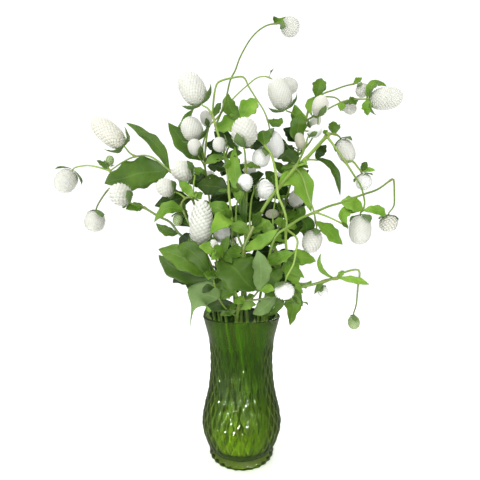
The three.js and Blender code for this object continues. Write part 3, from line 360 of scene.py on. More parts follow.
      dim([39, 18, 238], [70, 2, 218], 28),
      dim([50, 16, 290], [18, 4, 306], 26),
      dim([44, 17, 262], [14, 6, 258], 24),
      dim([63, 13, 340], [36, 0, 362], 24),
      dim([54, 15, 305], [22, 0, 330], 24),
      leaf([56, 14, 312], [80, -22, 320], 18, [70, -16, 310])],
    further=[
      leaf([76, 10, 395], [50, 12, 425], 22, [62, 12, 402], tone=0.1),
      leaf([72, 11, 375], [44, 10, 388], 16, [58, 8, 376], tone=0.2)],
    mouth=[(22, 37, 158), (-14, 38, 162)]),
  stem("right_long", azimuth=302, reach=38, top=1.1,
    route=[[22, -52, 215], [28, -68, 248], [35, -80, 278], [48, -81, 289], [63, -79, 299],
           [79, -77, 306], [95, -73, 313], [108, -70, 317], [121, -67, 322], [137, -63, 328],
           [158, -52, 336], [178, -42, 349]],
    limbs=[
      limb([178, -42, 349], [[183, -40, 350], [188, -32, 335], [191, -25, 321]],
        head("striped", [187, -20, 309], [186, -20, 290], 22, "striped", bract=0.24, opening=12)),
      limb([79, -77, 306], [[93, -73, 302], [110, -69, 295]])],
    leaves=[
      leaf([110, -69, 295], [119, -66, 290], 5),
      leaf([28, -68, 248], [56, -76, 262], 14, tone=1)],
    further=[
      leaf([63, -79, 299], [71, -58, 280], 18, [72, -66, 292], tone=0.3)]),
  stem("right_hanging", azimuth=345, reach=36, top=1.5,
    route=[[44, -24, 204], [63, -44, 219], [88, -48, 226], [106, -46, 231], [114, -45, 232]],
    limbs=[
      limb([114, -45, 232], [[118, -42, 237], [137, -40, 242], [142, -40, 238], [140, -40, 221],
        [138, -40, 200]],
        head("hanging_low", [135, -40, 186], [135, -40, 171], 14, "green")),
      limb([98, -47, 229], [], head("small_low", [97, -41, 221], [99, -39, 210], 13, "bright"))],
    leaves=[
      leaf([114, -45, 232], [153, -42, 224], 9, [134, -46, 230], tone=1),
      leaf([112, -45, 232], [95, -43, 262], 6, [94, -44, 244]),
      leaf([114, -45, 232], [121, -47, 241], 6),
      leaf([96, -47, 229], [86, -46, 213], 6),
      leaf([63, -44, 219], [86, -14, 222], 24, face=UP),
      leaf([50, -32, 209], [84, -26, 196], 22, face=UP)],
    further=[
      leaf([38, -10, 188], [38, 12, 168], 15, [38, 8, 178], tone=0.04)],
    mouth=[(10, 37, 164)]),
  stem("front", azimuth=262, reach=40, top=1.8, light=0.5,
    route=[[-4, -60, 204], [-10, -72, 226], [-16, -84, 245], [-21, -87, 259]],
    limbs=[
      limb([-4, -60, 204], [[12, -68, 213], [18, -75, 221]]),
      limb([4, -65, 208], [[22, -68, 211], [38, -68, 216], [52, -67, 222]]),
      limb([-6, -44, 185], [[-18, -56, 198], [-26, -70, 214], [-31, -82, 236]]),
      limb([-21, -87, 259], [], head("white_bud", [-27, -88, 266], [-31, -88, 275], 9))],
    leaves=[
      leaf([-21, -87, 259], [12, -104, 225], 38, [-5, -106, 243], face=[0.2, -1, 0.5]),
      leaf([-21, -87, 259], [-14, -86, 280], 9),
      leaf([-22, -84, 256], [-38, -80, 264], 11),
      leaf([18, -75, 221], [16, -86, 265], 21, [20, -88, 243], face=REAR, tone=1),
      leaf([-31, -82, 236], [-89, -82, 266], 24, [-58, -90, 255], wave=0.2),
      leaf([-25, -68, 210], [-54, -86, 184], 34, [-45, -86, 214], face=[0.4, 1, 0], tail=True, tone=1),
      dim([-29, -76, 225], [-78, -62, 228], 22, [-57, -68, 236]),
      leaf([-8, -50, 200], [-45, -50, 190], 15, [-26, -54, 202]),
      leaf([38, -68, 216], [13, -52, 191], 18, [26, -66, 202], face=REAR, tone=1),
      leaf([52, -67, 222], [53, -70, 182], 18, [56, -71, 204], face=[0.3, -1, 0], wave=0.2),
      leaf([52, -67, 222], [67, -71, 203], 12),
      leaf([46, -67, 220], [28, -60, 190], 9, [40, -72, 204])],
    further=[
      leaf([-31, -82, 236], [-67, -90, 268], 20, [-50, -92, 262], tone=0.3),
      leaf([-29, -76, 225], [-62, -74, 232], 20, [-46, -80, 228], tone=0.15),
      leaf([-31, -82, 236], [-88, -84, 260], 22, [-64, -86, 243], tone=0.2)]),
  stem("back", azimuth=90, reach=36, top=1.5, light=0.6,
    route=[[2, 42, 230], [6, 50, 290], [8, 56, 340], [10, 60, 366]],
    limbs=[
      limb([10, 60, 366], [], head("back_top", [10, 62, 378], [11, 66, 404], 26)),
      limb([4, 46, 258], [[-22, 56, 300], [-40, 61, 345]],
        head("back_left", [-46, 63, 366], [-54, 66, 388], 24)),
      limb([6, 50, 290], [[34, 62, 320], [50, 66, 350]],
        head("back_right", [56, 67, 364], [63, 70, 387], 25)),
      limb([3, 44, 244], [[-8, 64, 262]], head("back_low", [-16, 78, 274], [-23, 93, 294], 24)),
      limb([3, 44, 240], [[20, 62, 256], [38, 72, 270]],
        head("back_side", [54, 76, 284], [70, 80, 302], 23))],
    leaves=[
      leaf([2, 42, 230], [-38, 72, 232], 28, face=UP),
      leaf([2, 42, 230], [34, 80, 226], 28, face=UP),
      leaf([6, 50, 290], [-20, 86, 318], 26, face=BACK),
      leaf([8, 56, 335], [28, 92, 340], 26, face=BACK),
      leaf([2, 40, 215], [-6, 84, 210], 26, face=UP),
      leaf([-24, 57, 306], [-58, 74, 316], 24, face=BACK),
      leaf([36, 62, 324], [72, 78, 330], 24, face=BACK),
      dim([4, 46, 262], [-30, 20, 252], 28),
      dim([6, 50, 290], [36, 24, 282], 28),
      dim([6, 52, 300], [-26, 30, 316], 26),
      dim([8, 56, 340], [34, 30, 352], 26),
      dim([8, 56, 345], [-22, 36, 366], 26),
      dim([2, 42, 225], [34, 24, 216], 28),
      dim([2, 42, 218], [-30, 26, 206], 28),
      dim([10, 60, 364], [33, 38, 378], 22),
      dim([10, 60, 364], [-14, 40, 382], 22)],
    mouth=[(-24, 37, 158), (4, 38, 156), (30, 37, 160)]),
]


# Small helpers.

def polar(degrees, radius, z):
    turn = math.radians(degrees)
    return Vector((math.cos(turn) * radius, math.sin(turn) * radius, z))


def share_of(value, low, high):
    """How far a value is on the way from low to high, from 0 to 1."""
    return min(max((value - low) / (high - low), 0), 1)


def add_object(name, data):
    made = bpy.data.objects.new(name, data)
    bpy.context.scene.collection.objects.link(made)
    return made


def make_piece(name, points, faces, *materials, edges=()):
    """One mesh object from points in millimetres."""
    mesh = bpy.data.meshes.new(name)
    mesh.from_pydata([Vector(p) * MM for p in points], edges, faces)
    for material in materials:
        mesh.materials.append(material)
    mesh.polygons.foreach_set("use_smooth", [True] * len(mesh.polygons))
    mesh.update()
    return add_object(name, mesh)


def add_values(piece, name, values):
    piece.data.attributes.new(name, "FLOAT", "POINT").data.foreach_set("value", values)


def add_uv_map(piece, name, places):
    """A UV map from one place for each vertex."""
    layer = piece.data.uv_layers.new(name=name)
    for loop in piece.data.loops:
        layer.data[loop.index].uv = places[loop.vertex_index]


def only(piece):
    bpy.ops.object.select_all(action="DESELECT")
    piece.select_set(True)
    bpy.context.view_layer.objects.active = piece


@contextmanager
def editing(piece):
    """Edit mode, with all of the piece selected."""
    only(piece)
    bpy.ops.object.mode_set(mode="EDIT")
    bpy.ops.mesh.select_all(action="SELECT")
    yield
    bpy.ops.object.mode_set(mode="OBJECT")


def take_shape(made):
    """Points and faces of a modelled piece, which is then removed."""
    points = [v.co.copy() for v in made.data.vertices]
    faces = [list(f.vertices) for f in made.data.polygons]
    bpy.data.objects.remove(made, do_unlink=True)
    return points, faces


def finish_piece(piece, node):
    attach(piece, "root")
    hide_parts(node)


class SharedDraws:
    """The same seeded draws as the part's source makes, so both have the same waves and bracts."""

    def __init__(self):
        self.seed = 7

    def draw(self):
        self.seed = (self.seed * 16807) % 2147483647
        return self.seed / 2147483647


# Curves.

def eased(a, b, leaving, arriving, t):
    """From a to b, with the slopes at both ends."""
    return ((2 * t**3 - 3 * t**2 + 1) * a + (t**3 - 2 * t**2 + t) * leaving
            + (3 * t**2 - 2 * t**3) * b + (t**3 - t**2) * arriving)


def smooth_line(points):
    """A smooth curve through the points, with a step every few millimetres."""
    points = [Vector(p) for p in points]
    full = [2 * points[0] - points[1], *points, 2 * points[-1] - points[-2]]
    line = [points[0].copy()]
    for p0, p1, p2, p3 in zip(full, full[1:], full[2:], full[3:]):
        steps = max(2, round((p2 - p1).length / STEM_STEP))
        for k in range(1, steps + 1):
            line.append(eased(p1, p2, (p2 - p0) / 2, (p3 - p1) / 2, k / steps))
    return line


def inside_vase(plant):
    azimuth, reach = plant["azimuth"], plant["reach"]
    return [polar(azimuth + FOOT_TURN, reach * FOOT_SPREAD, FLOOR_Z + FOOT_LIFT),
            polar(azimuth + NECK_TURN, reach * NECK_SPREAD, NECK_Z),
            polar(azimuth + NECK_TURN / 2, reach * SHOULDER_SPREAD, SHOULDER_Z),
            polar(azimuth, reach, VASE_HEIGHT)]


def nearest(lines, at):
    at = Vector(at)
    return min((p for line in lines for p in line), key=lambda p: (p - at).length).copy()


def nearness(p, places, reach):
    """1 at any of the places, and less away from them."""
    return max((math.exp(-((p - place).length / reach) ** 2) for place in places), default=0)


def frame_of(tangent, face):
    side = tangent.cross(Vector(face)).normalized()
    return side, side.cross(tangent).normalized()


def bezier(a, via, b, t):
    """A point and the direction on the curve from a to b that passes the middle point."""
    control = via * 2 - a * 0.5 - b * 0.5
    point = a * (1 - t) ** 2 + control * 2 * t * (1 - t) + b * t**2
    return point, ((control - a) * (1 - t) + (b - control) * t).normalized()


# Stems.

def stalk_piece(name, runs, joints, material):
    """A plant's stem and limbs: tapered curves with swollen joints, made a mesh. Each limb has its
    own tone."""
    curve = bpy.data.curves.new(name, "CURVE")
    curve.dimensions = "3D"
    curve.bevel_depth = MM
    curve.bevel_resolution = 3
    curve.use_fill_caps = True
    draws = random.Random(name)
    tree = KDTree(sum(len(line) for line, _, _ in runs))
    shades = []
    for line, start, end in runs:
        spline = curve.splines.new("POLY")
        spline.points.add(len(line) - 1)
        shade = draws.uniform(0, 1)
        for i, (point, p) in enumerate(zip(spline.points, line)):
            point.co = (*(p * MM), 1)
            plain = start + (end - start) * i / (len(line) - 1)
            point.radius = plain * (1 + JOINT_SWELL * nearness(p, joints, JOINT_LENGTH))
            tree.insert(p, len(shades))
            shades.append(shade)
    tree.balance()
    made = add_object(name, curve)
    only(made)
    bpy.ops.object.convert(target="MESH")
    bpy.ops.object.shade_smooth_by_angle(angle=math.radians(50))
    made.data.materials.append(material)
    places = [v.co / MM for v in made.data.vertices]
    add_values(made, "tone", [shades[tree.find(p)[1]] for p in places])
    above = [j for j in joints if j.z > VASE_HEIGHT]
    add_values(made, "joint", [nearness(p, above, JOINT_BLUSH) for p in places])
    return made


# Leaves.

def grid_template(across, along):
    """A flat grid, from -1 to 1 across and from 0 to 1 along."""
    bpy.ops.object.select_all(action="DESELECT")
    bpy.ops.mesh.primitive_grid_add(x_subdivisions=across, y_subdivisions=along, size=2)
    points, faces = take_shape(bpy.context.object)
    return [(p.x, min(max((p.y + 1) / 2, 0), 1)) for p in points], faces


def leaf_outline(t, tail):
    """Share of a leaf's full width at t, pointed at the tip and drawn in at the root."""
    if tail:
        past = share_of(t, 0.42, 0.8)
        return math.sin(math.pi * min(t**0.75, 1)) ** 0.85 * (1 - 0.85 * past**2 * (3 - 2 * past))
    return math.sin(math.pi * t) ** 0.85 * (1 - 0.22 * t**6)


class Blades:
    """Leaf surfaces gathered in one mesh, with the leaf's own UV map and tone."""

    def __init__(self):
        self.points, self.faces, self.uvs, self.tones = [], [], [], []

    def add(self, template, root, via, tip, wide, face, wave, phase, tone, ripple, tail=False):
        first = len(self.points)
        places, faces = template
        for s, t in places:
            centre, tangent = bezier(root, via, tip, t)
            side, normal = frame_of(tangent, face)
            share = max(leaf_outline(t, tail), 0)
            half = max(PETIOLE * (1 - t) ** 3, share * wide / 2)
            turn = OFFSET if s > 0 else 0
            lift = half * CUP * abs(s) ** 1.4
            lift += s * s * share * wide * wave * math.sin(phase + turn + WAVES * t)
            lift += abs(s) ** 3 * share * ripple * math.sin(3 * phase + 27 * t + turn)
            lift += share * ripple * math.sin(5 * phase + 11 * t)
            lift -= s * s * wide * CURL * math.sin(2 * phase) * math.sin(math.pi * t) ** 2
            edge = 1 + EDGE_WAVE * abs(s) * math.sin(4 * phase + 21 * t + turn)
            self.points.append(centre + side * (s * half * edge) + normal * lift)
            self.uvs.append(((s + 1) / 2, t))
            self.tones.append(tone)
        self.faces += [[first + v for v in f] for f in faces]

    def piece(self, name, top, under):
        made = make_piece(name, self.points, self.faces, top, under)
        add_uv_map(made, "leaf", self.uvs)
        add_values(made, "tone", self.tones)
        with editing(made):  # the last row of every leaf is one point
            bpy.ops.mesh.remove_doubles(threshold=0.02 * MM)
        wall = made.modifiers.new("thickness", "SOLIDIFY")
        wall.thickness = LEAF_THICKNESS * MM
        wall.offset = -1
        wall.material_offset = wall.material_offset_rim = 1
        bpy.ops.object.modifier_apply(modifier=wall.name)
        return made


# Painted shade inside the bunch: a drawn tone falls near its axis and below its crown.
AXIS_REACH = (15, 57)  # from the bunch's axis, from full shade to none
CROWN = (425, 365)  # height, from no shade to full shade
DEEPEST = 0.85
YOUNG_ZONE = ((-62, 70), (195, 380))  # right and up, where small leaves thicken the bunch
YOUNG_LENGTHS = (13, 27)
MOUTH_ROOT = 188
MOUTH_WIDTH = 27


def daylight(place):
    """Painted shade on a leaf's tone, as a share of light: little near the bunch's axis, below its open
    top.
    """
    inner = 1 - share_of(math.hypot(place.x, place.y), *AXIS_REACH)
    return 1 - DEEPEST * inner * share_of(place.z, *CROWN)


def plant_leaves(blades, templates, plant, lines, shared):
    """All leaves of the table. Returns where the source's leaves join the stem."""
    draws = random.Random(plant["name"])
    joints = []
    for item in plant["leaves"]:
        root, tip = nearest(lines, item["at"]), Vector(item["tip"])
        arch = (root + tip) / 2 + Vector(UP) * ARCH * (tip - root).length
        via = Vector(item["via"]) if item["via"] else arch
        # A random tone, darkened by painted shade: the plant's light, the depth in the bunch, and dim
        # leaves.
        tone = draws.uniform(0.2, 1) * plant["light"] * daylight(via) * (SHADE if item["dim"] else 1)
        wide = item["wide"]
        blades.add(templates["leaf"], root, via, tip, wide, item["face"], item["wave"],
                   shared.draw() * 6, tone if item["tone"] is None else item["tone"], wide * RIPPLE,
                   item["tail"])
        joints.append(root)
    for item in plant["further"]:
        wide = item["wide"]
        blades.add(templates["leaf"], nearest(lines, item["at"]), Vector(item["via"]),
                   Vector(item["tip"]), wide, item["face"], 0.12, wide, item["tone"], wide * RIPPLE)
    return joints


def young_leaves(blades, template, name, joints):
    """Small leaves in pairs at the joints, of random tone, darkened by painted shade deeper in the bunch.
    """
    draws = random.Random(name + "_young")
    (left, right), (low, high) = YOUNG_ZONE
    for joint in joints:
        if not (left < joint.x < right and low < joint.z < high):
            continue
        turn = draws.uniform(0, 2 * math.pi)
        for k in (0, 1):
            azimuth = turn + math.pi * k + draws.uniform(-0.4, 0.4)
            length = draws.uniform(*YOUNG_LENGTHS)
            way = Vector((math.cos(azimuth), math.sin(azimuth), draws.uniform(-0.4, 0.5))).normalized()
            tip = joint + way * length
            via = (joint + tip) / 2 + Vector(UP) * length * 0.12
            tone = draws.uniform(0.3, 1) * daylight(tip)
            blades.add(template, joint, via, tip, length * draws.uniform(0.42, 0.56), FRONT, 0.12,
                       draws.uniform(0, 6), tone, length * 0.03)


def mouth_leaves(blades, template, plant, lines):
    """Leaves that hang inside the vase's mouth, darkened to painted deep shade."""
    for turn, reach, height in plant["mouth"]:
        azimuth = plant["azimuth"] + turn
        root = nearest(lines, polar(plant["azimuth"], plant["reach"], MOUTH_ROOT))
        tip = polar(azimuth, reach, height)
        via = (root + tip) / 2 + polar(azimuth, 2, 0)
        blades.add(template, root, via, tip, MOUTH_WIDTH, polar(azimuth, -1, 0.3), 0.06, turn, 0.03, 1)


# Flower heads.

# Across a bract, from its left edge over its crown to its right edge: place and lift. Lengthwise:
# place, share of the width, and lift.
BRACT_SECTION = [(-0.5, -0.06), (-0.27, 0.03), (0, 0.06), (0.27, 0.03), (0.5, -0.06)]
BRACT_ROWS = [(0, 0.75, 0), (0.36, 1, 0.07), (0.72, 0.76, 0.07), (1, 0, 0.04)]


def bract_template():
    """One papery bract, crowned and closed, a unit long and wide, with its root at the origin."""
    bpy.ops.object.select_all(action="DESELECT")
    bpy.ops.mesh.primitive_cylinder_add(vertices=5, radius=0.5, depth=1, location=(0, 0, 0.5))
    made = bpy.context.object
    only(made)
    bpy.ops.object.transform_apply(location=True, rotation=False, scale=False)
    for place, _, _ in BRACT_ROWS[1:3]:
        with editing(made):
            bpy.ops.mesh.bisect(plane_co=(0, 0, place), plane_no=(0, 0, 1))
    for vertex in made.data.vertices:
        along, share, lift = min(BRACT_ROWS, key=lambda row: abs(row[0] - vertex.co.z))
        turn = (math.atan2(vertex.co.x, vertex.co.y) / (2 * math.pi)) % 1
        x, z = BRACT_SECTION[round(turn * 5) % 5]
        vertex.co = (x * share, along, z * share + lift)
    with editing(made):
        bpy.ops.mesh.remove_doubles(threshold=0.004)
        bpy.ops.mesh.normals_make_consistent(inside=False)
    return take_shape(made)


def core_template():
    bpy.ops.object.select_all(action="DESELECT")
    bpy.ops.mesh.primitive_uv_sphere_add(segments=14, ring_count=9, radius=1)
    return take_shape(bpy.context.object)


def head_frame(flower):
    start = Vector(flower["base"])
    axis = Vector(flower["tip"]) - start
    length = axis.length
    axis.normalize()
    side = Vector((0, -1, 0.01)).cross(axis).normalized()
    return start, axis, length, side, axis.cross(side)


def swell_at(t):
    return (1 - abs(2 * t - 1) ** SWELL) ** (1 / SWELL)


def even_places(length, wide, count):
    """Places along a head's axis that share out its surface evenly among the bracts."""
    steps = 200
    sums = [0]
    for i in range(steps):
        r0, r1 = swell_at(i / steps) * wide / 2, swell_at((i + 1) / steps) * wide / 2
        sums.append(sums[-1] + (r0 + r1) * math.hypot(r1 - r0, length / steps))
    at = 0
    for k in range(count):
        goal = sums[-1] * (k + 0.5) / count
        while sums[at + 1] < goal:
            at += 1
        yield (at + (goal - sums[at]) / (sums[at + 1] - sums[at])) / steps


def bloom(flower, templates, material):
    """A dense head: a smaller core covered in spiralling, overlapping bracts."""
    start, axis, length, side, other = head_frame(flower)
    wide = flower["wide"]
    draws = random.Random(flower["name"])
    size = max(BRACT_SIZES[0], min(flower["bract"] * wide, BRACT_SIZES[1]))
    width = size * BRACT_BREADTH
    count = round(BRACT_LAYERS * length * wide / (size * width))
    points, uvs = [], []
    core_points, core_faces = templates["core"]
    for p in core_points:
        t = (p.z + 1) / 2
        round_by = CORE_SHARE * swell_at(t) * wide / 2 / max(math.hypot(p.x, p.y), 0.001)
        points.append(start + axis * (length * (0.03 + 0.93 * t)) + (side * p.x + other * p.y) * round_by)
        uvs.append((0.5, 0.4))
    faces = list(core_faces)
    shape, shape_faces = templates["bract"]
    for k, t in enumerate(even_places(length, wide, count)):
        turn = k * GOLDEN
        out = side * math.cos(turn) + other * math.sin(turn)
        low, high = max(t - 0.01, 0), min(t + 0.01, 1)
        slope = (swell_at(high) - swell_at(low)) * wide / 2
        run = (high - low) * length
        tangent = (axis * run + out * slope).normalized()
        normal = (out * run - axis * slope).normalized()
        open_by = math.radians(flower["opening"] + OPENING_AT_TIP * t**4 + draws.uniform(-5, 5))
        along = tangent * math.cos(open_by) + normal * math.sin(open_by)
        lift = normal * math.cos(open_by) - tangent * math.sin(open_by)
        across = along.cross(lift)
        swing = math.radians(draws.uniform(-8, 8))
        along, across = (along * math.cos(swing) + across * math.sin(swing),
                         across * math.cos(swing) - along * math.sin(swing))
        scale = size * draws.uniform(0.9, 1.08)
        broad = width * draws.uniform(0.92, 1.06)
        root = start + axis * (length * t) + out * (swell_at(t) * wide / 2 * BRACT_SEAT)
        root -= along * (scale / 2)
        first = len(points)
        for p in shape:
            points.append(root + across * (p.x * broad) + along * (p.y * scale) + lift * (p.z * broad))
            uvs.append((p.x + 0.5, p.y))
        faces += [[first + v for v in f] for f in shape_faces]
    made = make_piece(flower["name"] + "_bloom", points, faces, material)
    add_uv_map(made, "bract", uvs)
    only(made)
    bpy.ops.object.shade_smooth_by_angle(angle=math.radians(45))
    return made


def bract_leaves(blades, template, flower, draw):
    """The pair of leafy bracts that stands round a head's base."""
    start, axis, length, side, _ = head_frame(flower)
    wide = flower["wide"]
    way = side.copy()
    way.rotate(Matrix.Rotation(draw * math.pi, 3, axis))
    for out in (-way, way):
        middle = start + out * (wide * 0.45) + axis * (length * 0.03)
        tip = start + out * (wide * 0.68) + axis * (length * 0.3)
        blades.add(template, start - axis * 1.5, middle, tip, wide * 0.42, axis - out * 0.4,
                   0.05, draw * 9, 0.6, 0.3)


def plant_pieces(plant, shared, templates, looks):
    """One plant: its stem and limbs, its leaves and bracts, and its heads."""
    name = plant["name"]
    lines = [smooth_line([*inside_vase(plant), *plant["route"]])]
    runs = [(lines[0], STEM_FOOT, plant["top"])]
    blades = Blades()
    joints = []
    flowers = []
    for item in plant["limbs"]:
        start, flower = nearest(lines, item["at"]), item["flower"]
        route = [start, *item["route"]]
        if flower:
            flowers.append(flower)
            base, axis = head_frame(flower)[:2]
            route += [base - axis * NECK, base + axis * 1.5]
            bract_leaves(blades, templates["bract_leaf"], flower, shared.draw())
        lines.append(smooth_line(route))
        runs.append((lines[-1], min(plant["top"], LIMB_RADIUS), LIMB_END))
        joints.append(start)
    joints += plant_leaves(blades, templates, plant, lines, shared)
    young_leaves(blades, templates["young"], name, joints)
    mouth_leaves(blades, templates["young"], plant, lines)
    finish_piece(stalk_piece(name + "_stalk", runs, joints, looks["stem"]), name)
    foliage = blades.piece(name + "_leaves", looks["leaf_top"], looks["leaf_under"])
    finish_piece(foliage, name)
    for flower in flowers:
        made = bloom(flower, templates, looks[flower["look"]])
        finish_piece(made, name if flower["fused"] else flower["name"])


# The vase and its water. Rings are (radius, height), from under the foot over the lip to the floor.

UNDERSIDE = [(20, 3.4), (30, 2.6), (34, 1.2), (36, 0.2), (37, 0), (FOOT_RADIUS - 2, 0)]
UNDER_CENTRE = 3.6
FLUTED = [  # height, how far past the foot's radius, and the flutes' share of their depth
    (0.3, -1.0, 0.4), (1.2, 0, 1), (2.4, 0.2, 1), (3.5, 0.1, 1), (4.6, -0.3, 1), (5.6, -0.9, 1),
    (6.4, -1.7, 0.8), (FOOT_TOP, -2.8, 0.4)]
WAIST = [(38, 8.1), (36.6, 8.9), (WAIST_RADIUS, 9.7), (36.4, 10.4), (38.5, 11.2)]
INNER_HEIGHTS = [174, 168, 162, 154, 147, 140, 132, 124, 116, 108, 100, 92, 84, 76, 68, 60, 52, 44,
                 36, 28, 22, 18]
INNER_FLOOR = [(38.5, 15.6), (36, 14.2), (FLOOR_RADIUS, FLOOR_Z), (20, FLOOR_Z), (6, FLOOR_Z)]


def radius_at(z):
    """Outer radius of the glass, on a smooth curve through the profile's points."""
    i = max(0, min(len(PROFILE) - 2, sum(height <= z for height, _ in PROFILE) - 1))
    (z1, r1), (z2, r2) = PROFILE[i:i + 2]
    z0, r0 = PROFILE[max(i - 1, 0)]
    z3, r3 = PROFILE[min(i + 2, len(PROFILE) - 1)]
    step = z2 - z1
    return eased(r1, r2, (r2 - r0) / (z2 - z0) * step, (r3 - r1) / (z3 - z1) * step, (z - z1) / step)


def quilt(column, row):
    """Relief of the diamonds: V grooves between pillows, which run out at both ends."""
    p, q = column + row / 2, column - row / 2
    from_p, from_q = abs(p - round(p)), abs(q - round(q))
    centre_row = round(math.floor(p + 1e-6) - math.floor(q + 1e-6))
    if 0 < centre_row < DIAMOND_ROWS:
        rise = 16 * from_p * (1 - from_p) * from_q * (1 - from_q)
        return rise * (GROOVE + PILLOW) - GROOVE
    near = min(from_p, from_q)
    return -GROOVE * (1 - min(1, 2 * near)) ** 3


def vase_piece(material):
    around = 2 * CELLS * COLUMNS
    points, faces, rings = [], [], []

    def ring(radius, z, relief=lambda column: 0):
        rings.append(len(points))
        for i in range(around):
            column = i / (2 * CELLS)
            points.append(polar(column * 360 / COLUMNS, radius + relief(column), z))

    def flutes(share):
        return lambda column: FLUTE * share * (2 * abs(math.sin(math.pi * column)) - 1)

    for radius, z in UNDERSIDE:
        ring(radius, z)
    for z, out, share in FLUTED:
        ring(FOOT_RADIUS + out, z, flutes(share))
    for radius, z in WAIST:
        ring(radius, z)
    for z in (12, 13.5, 15, 16.5, 18):
        ring(radius_at(z), z)
    step = (DIAMONDS_TO - DIAMONDS_FROM) / DIAMOND_ROWS
    quilt_from = len(rings)
    for k in range(DIAMOND_ROWS * CELLS + 1):
        row = k / CELLS
        z = DIAMONDS_FROM + row * step
        ring(radius_at(z), z, lambda column, row=row: quilt(column, row))
    quilt_to = len(rings) - 1
    for z in (148.5, 150, 154, 158, 162, 166, 170, 174, 177):
        ring(radius_at(z), z)
    for turn in range(0, 181, 20):
        rim = polar(turn, LIP, 0)
        ring(radius_at(VASE_HEIGHT) - LIP + rim.x, VASE_HEIGHT - LIP + rim.y)
    for z in INNER_HEIGHTS:
        ring(radius_at(z) - WALL - (GROOVE if z < DIAMONDS_TO else 0.4), z)
    for radius, z in INNER_FLOOR:
        ring(radius, z)
    for r, (low, high) in enumerate(zip(rings, rings[1:])):
        quilted = quilt_from <= r < quilt_to
        for i in range(around):
            k = (i + 1) % around
            a, b, c, d = low + i, low + k, high + k, high + i
            # On the quilt, the triangles' long sides follow the grooves.
            if quilted and (i + 1 + r - quilt_from) % (2 * CELLS) == 0:
                faces += [(a, b, d), (b, c, d)]
            elif quilted and (i - (r - quilt_from)) % (2 * CELLS) == 0:
                faces += [(a, b, c), (a, c, d)]
            else:
                faces.append((a, b, c, d))
    under, floor = len(points), len(points) + 1
    points += [Vector((0, 0, UNDER_CENTRE)), Vector((0, 0, FLOOR_Z))]
    for i in range(around):
        k = (i + 1) % around
        faces.append((under, rings[0] + k, rings[0] + i))
        faces.append((floor, rings[-1] + i, rings[-1] + k))
    return make_piece("vase_glass", points, faces, material)


def water_piece(material):
    """The water up to its level, spun round the axis, with the small rise where it meets the glass."""
    heights = [18, 22, 28, 36, 44, 52, 60, 68, 76, 84, 92, 100, 108, 114, 117, WATER_LEVEL]
    bottom = FLOOR_Z + WATER_GAP
    outline = [(0, bottom), (20, bottom), (FLOOR_RADIUS - 1, bottom), (36 - WATER_GAP, 14.7), (38.1, 16)]
    outline += [(radius_at(z) - WALL - GROOVE - WATER_GAP, z) for z in heights]
    edge = outline[-1][0]
    outline += [(edge - 0.3, WATER_LEVEL + 0.1), (edge - 1.2, WATER_LEVEL - 0.7),
                (edge - 3, WATER_LEVEL - 1.2), (20, WATER_LEVEL - 1.3), (0, WATER_LEVEL - 1.3)]
    edges = [(i, i + 1) for i in range(len(outline) - 1)]
    made = make_piece("vase_water", [(radius, 0, z) for radius, z in outline], [], material, edges=edges)
    with editing(made):
        bpy.ops.mesh.spin(steps=96, angle=2 * math.pi, center=(0, 0, 0), axis=(0, 0, 1))
        bpy.ops.mesh.select_all(action="SELECT")
        bpy.ops.mesh.remove_doubles(threshold=0.002 * MM)
        bpy.ops.mesh.normals_make_consistent(inside=False)
    bpy.ops.object.shade_smooth()
    return made


# Materials. Effects that several finishes share are node groups.

class Nodes:
    """Short calls for the nodes of a tree. A value is a plain one or the socket of another node."""

    def __init__(self, tree):
        self.tree = tree

    def feed(self, socket, value):
        if isinstance(value, bpy.types.NodeSocket):
            self.tree.links.new(value, socket)
        else:
            socket.default_value = (*value, 1) if socket.type == "RGBA" else value

    def fill(self, node, values):
        for label, value in values.items():
            self.feed(node.inputs[label.replace("_", " ")], value)
        return node

    def node(self, kind, **values):
        return self.fill(self.tree.nodes.new("ShaderNode" + kind), values)

    def math(self, operation, a, b=0, clamp=False):
        made = self.node("Math")
        made.operation, made.use_clamp = operation, clamp
        self.feed(made.inputs[0], a)
        self.feed(made.inputs[1], b)
        return made.outputs[0]

    def times(self, a, b):
        return self.math("MULTIPLY", a, b)

    def less(self, a, b, clamp=False):
        return self.math("SUBTRACT", a, b, clamp)

    def most(self, a, b):
        return self.math("MAXIMUM", a, b)

    def mix(self, share, a, b):
        """A colour between a and b."""
        made = self.node("Mix")
        made.data_type = "RGBA"
        return self.fill(made, dict(Factor=share, A=a, B=b)).outputs["Result"]

    def band(self, value, low, high, to_low=0, to_high=1):
        """Goes evenly from one number to another while the value goes from low to high."""
        return self.node("MapRange", Value=value, From_Min=low, From_Max=high, To_Min=to_low,
                         To_Max=to_high).outputs["Result"]

    def ramp(self, value, stops):
        """A colour that changes between stops, each a value and its colour."""
        highest = stops[-1][0]
        made = self.node("ValToRGB", Fac=self.band(value, 0, highest))
        elements = made.color_ramp.elements
        while len(elements) < len(stops):
            elements.new(1)
        for element, (place, shade) in zip(elements, stops):
            element.position = place / highest
            element.color = (*shade, 1)
        return made.outputs["Color"]

    def split(self, vector):
        return self.node("SeparateXYZ", Vector=vector).outputs

    def up(self, coordinates="Object"):
        return self.split(self.node("TexCoord").outputs[coordinates])["Z"]

    def uv(self, name):
        made = self.node("UVMap")
        made.uv_map = name
        return self.split(made.outputs["UV"])[:2]

    def attribute(self, name):
        made = self.node("Attribute")
        made.attribute_name = name
        return made.outputs["Fac"]

    def ray(self, kind):
        return self.node("LightPath").outputs[f"Is {kind} Ray"]

    def group(self, group, **values):
        made = self.node("Group")
        made.node_tree = group
        return self.fill(made, values).outputs

    def patches(self, scale, **values):
        return self.group(MOTTLE, Scale=scale, **values)["Share"]

    def bump(self, height, strength, distance):
        """The normal over a height, whose distance is in millimetres."""
        return self.node("Bump", Height=height, Strength=strength, Distance=distance * MM).outputs["Normal"]


